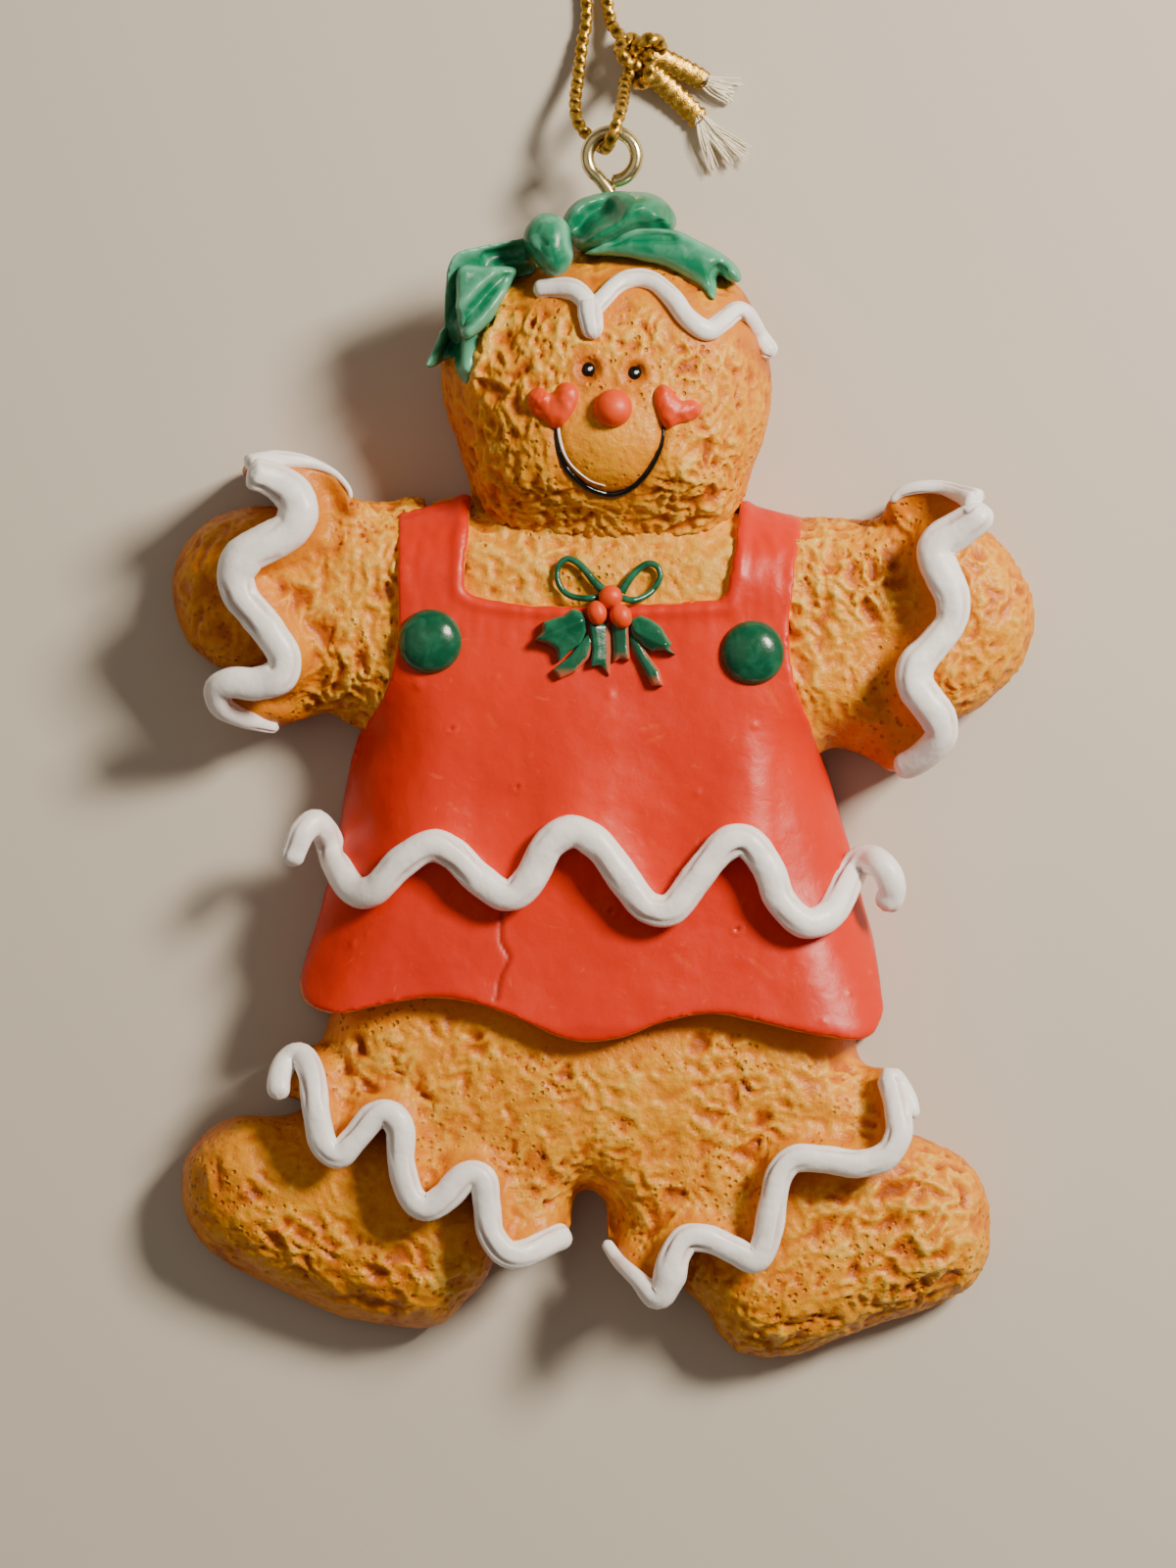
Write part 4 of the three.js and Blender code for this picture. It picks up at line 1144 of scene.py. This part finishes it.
def make_face(coral, black, white, head):
    """Bead eyes with white dots, a ball nose, heart cheeks and a smile with a painted white highlight along its
    inner edge.
    """
    for name, (x, y) in zip(("eye_left", "eye_right"), EYES):
        z = at(head, x, y)
        piece, _ = ball(name + "_bead", 28, 18, lambda unit: unit * (0.62, 0.68, 0.44), (x, y, z + 0.06))
        store(piece, "edge", np.zeros(len(piece.data.vertices)))
        finish(piece, black, name)
        dot, _ = ball(name + "_glint_dot", 12, 8, lambda unit: unit * (0.17, 0.17, 0.07),
                      (x + 0.1, y + 0.06, z + 0.48))
        store(dot, "edge", np.zeros(len(dot.data.vertices)))
        finish(dot, white, [])

    x, y = NOSE
    nose, unit = ball("nose_ball", 40, 24, lambda unit: unit * (1.68, 1.66, 1.45)
                      * (1 + 0.03 * noise_at(unit, 0.9, 3)[:, None]), (x, y, at(head, x, y) + 0.35))
    store(nose, "edge", 0.25 * bell(noise_at(unit, 0.7, 8), 0.1))
    finish(nose, coral, "nose")

    hearts = {
        "cheek_left": [(-3.9, 27.3), (-2.5, 28.9), (-2.1, 30.3), (-2.6, 31.2), (-3.6, 31.3), (-4.5, 30.3),
                       (-5.4, 30.9), (-6.4, 30.5), (-6.5, 29.2), (-5.2, 28)],
        "cheek_right": [(5.5, 27.3), (4.8, 28.8), (4.5, 30.4), (5.2, 31.2), (6, 30.8), (6.8, 29.8), (8, 29.8),
                        (8.7, 28.9), (8, 28.1), (6.6, 27.7)],
    }
    for name, points in hearts.items():
        outline = through(points, 0.2, closed=True)

        def top(xy, outline=outline):
            return head(xy) + 0.15 + 0.75 * swell(reach(xy, outline, closed=True), 1.1)
        piece = relief(name + "_heart", outline, top, CHEEK_GRAIN, height=3, low=lambda xy: head_top(xy) - 1.2,
                       softness=4)
        store(piece, "edge", 0.2 * bell(reach(points_of(piece), outline, closed=True), 0.25))
        finish(piece, coral, name)

    share = np.linspace(0, 1, len(GRIN))
    weight = np.interp(share, (0, 0.15, 0.3, 0.55, 0.8, 1), (0.1, 0.2, 0.31, 0.36, 0.27, 0.12))
    line = rope("smile_line", np.stack([GRIN[:, 0], GRIN[:, 1], head(GRIN) + 0.02], 1), weight, 12)
    store(line, "edge", np.zeros(len(line.data.vertices)))
    finish(line, black, "smile")
    # A painted highlight: a thin white line along the inner edge of the smile's groove, where light catches it.
    inner = through(
        [(-3.9, 27.5), (-3.75, 26.4), (-3.4, 25.2), (-2.8, 24.2), (-2, 23.4), (-1, 22.7), (0.2, 22.3)], 0.15
    )
    smile_highlight = rope("smile_painted_highlight_line", np.stack([inner[:, 0], inner[:, 1], head(inner) + 0.02], 1),
                 np.interp(np.linspace(0, 1, len(inner)), (0, 0.3, 1), (0.16, 0.13, 0.05)), 10)
    store(smile_highlight, "edge", np.zeros(len(smile_highlight.data.vertices)))
    finish(smile_highlight, white, [])


# ---------------------------------------------------------------- bow on the head


def over_head(xy, clear):
    """A height clear of the head, and never below its brow beyond the edge."""
    return np.maximum(head_top(xy), 6.5) + clear


def bow_back(xy):
    """The bow is thin where it overhangs the head, and bedded in it elsewhere."""
    return np.maximum(head_top(xy), 8.2) - 1.6


def ribbon(name, node, points, top, low, creases=(), pleats=(), material=None):
    """A modelled band of paste: creases are pressed in, pleats stand up."""
    outline = through(points, 0.3, closed=True)
    piece = relief(name, outline, lambda xy: top(xy, outline), BOW_GRAIN, height=8, low=low, softness=3)
    placed = points_of(piece)
    normals = normals_of(piece)
    front = np.clip(normals[:, 2] * 1.5, 0, 1)
    folds = sum((bell(reach(placed, through(line, 0.3)), 0.5) for line in creases), np.zeros(len(placed)))
    ridges = sum((bell(reach(placed, through(line, 0.3)), 0.5) for line in pleats), np.zeros(len(placed)))
    wave = 0.12 * noise_at(placed, 2.5, 6) + 0.04 * noise_at(placed, 0.9, 8)
    move_points(piece, placed + normals * (wave + front * (0.45 * ridges - 0.55 * folds))[:, None])
    rim = bell(reach(placed, outline, closed=True), 0.5) * np.clip(normals[:, 2] + 0.4, 0, 1)
    thin_paint = 0.15 * np.clip(noise_at(placed, 2, 15), 0, 1)
    store(piece, "edge", 0.55 * rim + 0.35 * ridges + thin_paint - 0.4 * folds)
    finish(piece, material, node)


def make_bow(green):
    """A flopped bow of green paste: knot, two loops with a fold, and two tails."""
    ribbon(
        "bow_tail_right_ribbon", "bow_tail_right",
        [
            (-1.6, 42.6), (0.4, 43.8), (2.6, 44.8), (6, 44.7), (9.1, 43.4), (11, 42.2), (12, 41), (12, 40.1),
            (10.9, 40.3), (10, 40.9), (9.9, 38.6), (9.2, 38.9), (8.7, 39.7), (7.4, 40.5), (5.4, 41.4),
            (3, 42.1),
            (0.6, 42.4),
        ],
        lambda xy, edge: np.maximum(head_top(xy), 10.2) + 0.3 + 1.4 * swell(reach(xy, edge, closed=True), 1.6),
        bow_back,
        creases=[[(9.9, 40.6), (10.4, 41.6)], [(0.8, 43.9), (3.4, 44.2), (6, 44.2)]],
        material=green,
    )
    ribbon(
        "bow_loop_top_ribbon", "bow_loop_top",
        [
            (-3.6, 45.2), (-2.7, 46.9), (-1, 47.8), (1.6, 48.1), (4.2, 47.9), (5.8, 46.9), (6.5, 45.5),
            (6, 44.5),
            (4.4, 44.2), (2.3, 44), (0.9, 43.3), (-0.8, 42.7), (-2.1, 42.9), (-3, 44),
        ],
        lambda xy, edge: 7.2 + 4.9 * swell(reach(xy, edge, closed=True), 1.8)
        - 3.2 * bell(reach(xy, [(-2, 45), (-1.2, 46), (0.3, 46.7)]), 1)
        + 0.9 * bell(reach(xy, [(-1, 43.6), (1.4, 44.8), (2.6, 46.4), (3.6, 47)]), 0.8),
        4.5,
        creases=[[(5, 44.9), (5.9, 45.6), (5.6, 46.4)]],
        material=green,
    )
    ribbon(
        "bow_loop_left_ribbon", "bow_loop_left",
        [
            (-5.9, 43.9), (-7.4, 43.9), (-9, 43.6), (-10.8, 43.2), (-12.7, 42.7), (-13.5, 41.4), (-13.8, 39),
            (-13.8, 36), (-12.9, 34.6), (-11.6, 34.8), (-10, 36.6), (-8.8, 38.8), (-7.8, 40.3), (-5.9, 41.1),
        ],
        lambda xy, edge: np.maximum(over_head(xy, 0.4), 6.6 + 4.4 * swell(reach(xy, edge, closed=True), 2)),
        bow_back,
        creases=[[(-7.4, 42.6), (-10, 42.3)]],
        material=green,
    )
    ribbon(
        "bow_loop_left_fold", [],
        [
            (-12.6, 41.3), (-10.4, 41.5), (-7.6, 41.4), (-7.9, 40.2), (-8.6, 38.9), (-9.3, 37.4), (-10.4, 36),
            (-11.6, 35.2), (-12.4, 35.4), (-12.8, 38),
        ],
        lambda xy, edge: 11.4 + 1.2 * swell(reach(xy, edge, closed=True), 0.8) + 0.3 * (-8.4 - xy[:, 0]),
        lambda xy: over_head(xy, -1.5),
        creases=[[(-12.4, 36.4), (-11.2, 37.6), (-9.6, 39.4), (-8.4, 40.6)]],
        pleats=[[(-11.8, 35.9), (-10.4, 37.4), (-8.8, 39.4)], [(-12.5, 38), (-11.2, 39.6), (-9.6, 40.9)]],
        material=green,
    )
    ribbon(
        "bow_tail_left_ribbon", "bow_tail_left",
        [
            (-13.8, 36.2), (-14.6, 34.6), (-15.5, 32.8), (-14.6, 32.7), (-13.3, 33.5), (-12.8, 32.3),
            (-11.9, 31.1), (-11.4, 32.6), (-10.9, 34.4), (-11.2, 36.2),
        ],
        lambda xy, edge: over_head(xy, 0.3) + 0.8 * swell(reach(xy, edge, closed=True), 0.9),
        bow_back,
        creases=[[(-13, 35.8), (-13, 33.6)]],
        pleats=[[(-12, 35.6), (-11.9, 32.6)]],
        material=green,
    )

    def wrap(unit):
        """A fat upright band, pinched in the middle, leaning to the left."""
        pinch = 1 - 0.12 * bell(unit[:, 1] + 0.15, 0.35)
        x = unit[:, 0] * 2.15 * pinch * (1 + 0.12 * unit[:, 1])
        y = unit[:, 1] * 2.75
        z = unit[:, 2] * 2.3 * (1 - 0.14 * bell(unit[:, 0] + 0.35, 0.3) * (unit[:, 1] > 0))
        lean = math.radians(19)
        shape = np.stack(
            [x * math.cos(lean) - y * math.sin(lean), x * math.sin(lean) + y * math.cos(lean), z], 1
        )
        return shape * (1 + 0.05 * noise_at(unit, 0.8, 2)[:, None])
    knot, unit = ball("bow_knot_wrap", 44, 30, wrap, (-4.6, 43.4, 12.4))
    # Paler at the band's ends and in flecks where the paint is thin; the pale strip down the right side is a
    # painted highlight.
    store(knot, "edge", 0.4 * np.abs(unit[:, 1]) ** 6 + 0.5 * bell(unit[:, 0] - 0.75, 0.16)
          + 0.2 * (noise_at(unit, 0.5, 4) > 0.4))
    finish(knot, green, "bow_knot")


# ---------------------------------------------------------------- brooch


def make_brooch(green, coral, dress, chest):
    """Holly leaves, three berries and a thin ribbon with two loops and four ends."""
    def leaf(node, points, rise=0.55, vein=None, lean=0.0):
        corners = np.array(points, float)
        edges = np.concatenate([np.linspace(a, b, 6, endpoint=False)
                                for a, b in zip(corners, np.roll(corners, -1, 0))])
        middle = corners.mean(0)

        def top(xy):
            ridge = 0.35 * bell(reach(xy, vein), 0.5) if vein else 0
            return dress_top(xy) + 0.35 + rise * swell(reach(xy, edges, closed=True), 0.5) + ridge \
                + lean * (xy[:, 0] - middle[0])
        piece = relief(node + "_enamelled", edges, top, BROOCH_GRAIN, height=3,
                       low=lambda xy: dress_top(xy) - 1, softness=2)
        placed = points_of(piece)
        wall = np.clip(0.7 - normals_of(piece)[:, 2], 0, 1)
        store(piece, "edge", 0.35 * bell(reach(placed, edges, closed=True), 0.24) + 0.3 * wall)
        if "tail" in node:
            tip = np.clip(corners[:, 1].min() + 1 - placed[:, 1], 0, 0.8)
            store(piece, "bare", tip + 0.7 * (normals_of(piece)[:, 0] > 0.45))
        finish(piece, green, node)

    leaf("brooch_leaf_left",
         [(-1.4, 10.6), (-1.7, 11.3), (-2.6, 11.6), (-3.4, 11), (-4.2, 10.8), (-5.3, 10.4), (-5.3, 9.6),
          (-6, 8.8), (-4.9, 8.5), (-4.1, 8), (-4, 7.4), (-3.9, 6.8), (-2.9, 7.8), (-1.9, 8.5), (-1.4, 9.6)],
         rise=0.8, vein=[(-1.6, 10.6), (-5.4, 8.9)], lean=-0.12)
    leaf("brooch_leaf_right",
         [(2.3, 10.6), (3.3, 11), (4.3, 10.6), (5.1, 10), (5.7, 9), (6.1, 8.4), (5.7, 8.1), (6.5, 7.5),
          (5.3, 7.9), (4.3, 7.8), (3.5, 8.2), (2.5, 9.2)],
         rise=0.8, vein=[(2.4, 9.9), (5.9, 8.1)], lean=0.1)
    leaf("brooch_tail_1",
         [(-1.2, 9.5), (-2.1, 8.4), (-3, 7.3), (-4.4, 6.2), (-3.8, 5.4), (-2.3, 6.1), (-1.1, 7.3), (-0.6, 8.8)],
         rise=0.5, lean=-0.15)
    leaf("brooch_tail_2",
         [(-1.2, 10.4), (-0.9, 8), (-1.1, 6.5), (-0.2, 6.6), (0.6, 5.6), (0.75, 7.8), (0.65, 10.4)],
         rise=0.5, lean=-0.3)
    leaf("brooch_tail_3",
         [(0.75, 10.4), (0.9, 8.2), (0.9, 6.8), (1.5, 7.2), (2.4, 7), (2.3, 8.4), (2.3, 10.4)],
         rise=0.5, lean=0.2)
    leaf("brooch_tail_4",
         [(2.1, 9.4), (2.7, 7.7), (3.5, 6.3), (4.3, 4.8), (5.3, 4.8), (5, 6.1), (4, 7.5), (3.1, 9.1)],
         rise=0.5, lean=0.15)
    loops = {
        "brooch_loop_left": [
            (0.1, 13.1), (-0.8, 14), (-1.6, 15), (-2.4, 15.7), (-3.2, 15.9), (-3.9, 15.2), (-3.9, 13.9),
            (-3.2, 12.9), (-2.1, 12.5), (-0.9, 12.5), (0.1, 12.6),
        ],
        "brooch_loop_right": [
            (1.6, 13), (2.3, 14.1), (3.1, 15), (4, 15.5), (4.8, 15.2), (5, 14.2), (4.3, 13.1), (3.4, 12.5),
            (2.6, 12.3), (1.6, 12.5),
        ],
    }
    for node, points in loops.items():
        route = through(points, 0.12)
        z = np.maximum(chest(route), np.where(route[:, 1] < 12.6, dress(route), 0)) + 0.5
        z = np.convolve(np.pad(z, 8, mode="edge"), np.ones(17) / 17, mode="valid")
        width = np.interp(np.linspace(0, 1, len(route)), (0, 0.15, 0.5, 1), (0.42, 0.34, 0.26, 0.3))
        piece = rope(node + "_band", np.stack([route[:, 0], route[:, 1], z + 0.15], 1), width, 12)
        store(piece, "edge", 0.35 * np.clip(noise_at(points_of(piece), 0.8, 7), 0, 1))
        finish(piece, green, node)
    for i, (x, y, wide, tall, turn) in enumerate(
        ((0.7, 12.6, 1.04, 1.0, 0), (-0.5, 11.2, 0.86, 1.1, 8), (1.6, 10.9, 0.95, 1.1, 30))
    ):
        def bean(unit):
            c, s = math.cos(math.radians(turn)), math.sin(math.radians(turn))
            u, v = unit[:, 0] * wide, unit[:, 1] * tall
            return np.stack([u * c - v * s, u * s + v * c, unit[:, 2] * 0.85], 1) * (
                1 + 0.04 * noise_at(unit, 0.7, i)[:, None])
        berry, unit = ball(f"berry_{i + 1}", 28, 18, bean, (x, y, at(dress_top, x, y) + 1.05))
        store(berry, "edge", 0.25 * np.clip(noise_at(unit, 0.5, i + 4), 0, 1))
        finish(berry, coral, f"brooch_berry_{i + 1}")


# ---------------------------------------------------------------- wire eye and cord

EYE = (0.8, 51.1, 7.0)  # the middle of the ring
EYE_BEND = 2.15
WIRE_RADIUS = 0.6
CORD_RADIUS = 0.54
CORD_STEP = 0.12
CORD_EXIT = (0.3, 51.8, 7.0)  # where the loop comes out of the ring
CORD_ROUTE = [
    (2.6, 58.9, 2.4), (2, 57.8, 3.4), (1.8, 56.4, 5.3), (1.6, 55.2, 7.4), (1.2, 53.9, 8.5),
    (0.7, 52.6, 8.35), (0.3, 51.8, 7),
    (-0.3, 52, 5.6), (-1.3, 52.9, 5.1), (-2.2, 54.2, 4.5), (-2.4, 56, 3.3), (-2.1, 58.4, 1.9),
    (-1.8, 61, 0.9), (-1.4, 64, 0.6), (-2.2, 72, 0.6), (-4.6, 82, 0.6), (-6.4, 92, 0.6), (-6.6, 101, 0.6),
    (-4.4, 108, 0.6), (-0.4, 111.4, 0.6), (3.8, 109.6, 0.6), (6, 103, 0.6), (5.8, 94, 0.6), (4.4, 84, 0.6),
    (2.2, 74, 0.6), (0.5, 66, 0.6), (0.7, 63, 1), (1.4, 61.8, 2), (2.5, 60.8, 2.4),
]


def make_eye_pin(brass):
    """A wire pushed into the head and bent round to a closed ring."""
    x, y, z = EYE
    points = [(x, 40, z), (x, 43, z), (x, 46.2, z), (x - 0.1, 47.8, z)]
    for turn in np.linspace(236, -92, 33):
        angle = math.radians(turn)
        points.append((x + EYE_BEND * math.cos(angle), y + EYE_BEND * math.sin(angle), z))
    route = through(points, 0.2)
    radii = np.full(len(route), WIRE_RADIUS) * end_taper(len(route), 0.2, 0.3)
    piece = rope("eye_pin_wire", route, radii, 20)
    finish(piece, brass, "eye_pin")


def braid(name, route, radius, pitch=1.05, flat=1.0):
    """A braid: crossing yarns stand proud in a chevron, with painted shade in the gaps between them. flat
    presses it into a tape with beaded edges."""
    sides = 16
    radii = np.full(len(route), radius) * end_taper(len(route), CORD_STEP, radius * 0.5)
    piece = rope(name, route, radii, sides)
    points = points_of(piece)
    normals = normals_of(piece)
    ring, around = unroll(points, route, sides)
    along = ring * CORD_STEP
    phase = 2 * math.pi * along / pitch
    proud = np.maximum(np.cos(2 * around + phase), np.cos(2 * around - phase))
    rise = 0.08 * (proud - 0.5)
    if flat < 1:
        edge = np.cos(around) ** 6
        beads = edge * (0.5 + 0.5 * np.cos(2 * math.pi * along / 0.72))
        rise = 0.03 * proud + 0.2 * beads
        proud = np.maximum(0.3 * proud + 0.15, beads * 1.2)
    moved = points + normals * rise[:, None]
    if flat < 1:
        centre = route[ring]
        moved[:, 2] = centre[:, 2] + (moved[:, 2] - centre[:, 2]) * flat
    move_points(piece, moved)
    # Painted shade in the gaps between the proud yarns.
    store(piece, "hollow", np.clip(0.7 - proud, 0, 1) * 0.95)
    return piece


def fray(name, root, tips, count, rng, thick):
    """Loose core fibres that fan out from root towards each of the tips, in clumps."""
    strands = []
    for i in range(count):
        tip = np.array(tips[i % len(tips)]) + [rng.gauss(0, 0.22), rng.gauss(0, 0.22), rng.uniform(-0.1, 0.3)]
        start = np.array(root) + [rng.uniform(-0.4, 0.4), rng.uniform(-0.4, 0.4), rng.uniform(-0.1, 0.2)]
        sag = [rng.uniform(-0.2, 0.2), rng.uniform(-0.2, 0.2), rng.uniform(0, 0.3)]
        middle = (start * 0.55 + tip * 0.45) + sag
        for point in (tip, middle):
            point[2] = max(point[2], 0.15)
        path = through([start, middle, tip], 0.4)
        strands.append(rope(name, path, np.linspace(thick, thick * 0.4, len(path)), 6))
    clear_selection()
    for strand in strands:
        strand.select_set(True)
    bpy.context.view_layer.objects.active = strands[0]
    bpy.ops.object.join()
    tuft = bpy.context.object
    tuft.name = name
    return tuft


def make_cord(gold, fibre):
    """The braided loop through the ring, its knot and two pressed tails that end in loose fibres."""
    route = through(CORD_ROUTE, CORD_STEP)
    loop = braid("cord_braid", route, CORD_RADIUS)
    finish(loop, gold, "cord_loop", LOOP)

    turns = np.linspace(0, 2 * math.pi, 90)
    size = 0.7
    knot_line = np.stack(
        [
            size * 0.92 * (np.sin(turns) + 2 * np.sin(2 * turns)),
            size * 1.1 * (np.cos(turns) - 2 * np.cos(2 * turns)),
            -0.9 * np.sin(3 * turns),
        ],
        axis=1,
    )
    knot = braid("cord_knot_braid", through(knot_line + (3.3, 59.8, 2.45), CORD_STEP), 0.6)
    finish(knot, gold, "cord_knot", LOOP)

    rng = random.Random(7)
    tails = (
        ("cord_tail_upper", [(3.4, 60, 2.6), (5, 59.7, 1.9), (7.2, 58.6, 1.1), (9, 57.6, 0.8)],
         [(11.3, 57), (11.4, 56.5), (11.2, 56), (11.3, 57.2), (12, 57.4)], 48, 0.12),
        ("cord_tail_lower",
         [(3.3, 59.4, 2.4), (4.7, 58, 1.6), (6.2, 56.6, 1.1), (7.8, 55, 0.8), (8.6, 54.2, 0.75)],
         [(11.2, 50.4), (11, 50.9), (12.6, 52), (12.5, 50.9), (9.8, 49.9), (11.3, 50.7)], 66, 0.1),
    )
    pieces = [knot]
    for node, points, tips, count, thick in tails:
        line = through(points, CORD_STEP)
        tail = braid(node + "_braid", line, 0.84, flat=0.34)
        finish(tail, gold, node, LOOP)
        tuft = fray(node + "_frayed_end", line[-3], [(*tip, 0.6) for tip in tips], count, rng, thick)
        finish(tuft, fibre, [], LOOP)
        pieces += [tail, tuft]
    return loop, pieces, route


# ---------------------------------------------------------------- the ornament

studio()
cord, knotted, cord_route = make_cord(lurex(), raw_fibre())
bread = washed_bread()
red = satin_red()
icing = icing_white()
green = enamel("green_gloss_enamel", "#064E34", "#469D7B", 0.24)
ribbon_green = enamel("green_ribbon_enamel", "#0E7652", "#84D4B0", 0.34)
coral = enamel("coral_satin_enamel", "#E24000", "#E86A30", 0.44)
black = enamel("black_gloss_enamel", "#0B0A0A", "#1E1B1A", 0.18)
# White enamel for the eye dots, also used for the smile's painted highlight line.
white = enamel("white_enamel_and_painted_highlight", "#F6F4F2", "#FFFFFF", 0.25)
make_sleeves(bread)
make_hands(bread)
make_torso(bread)
make_pantaloons(bread)
make_feet(bread)
head = make_head(bread)
dress = make_dress(red)
make_buttons(green, dress)
make_icing(icing, head)
make_face(coral, black, white, head)
make_bow(ribbon_green)
make_brooch(green, coral, dress, chest_top)
make_eye_pin(brass_plate())
for piece in PIECES:
    move_points(piece, true_place(points_of(piece)))
cord_path = true_place(cord_route)
tuple(true_place([CORD_EXIT])[0] * MM)
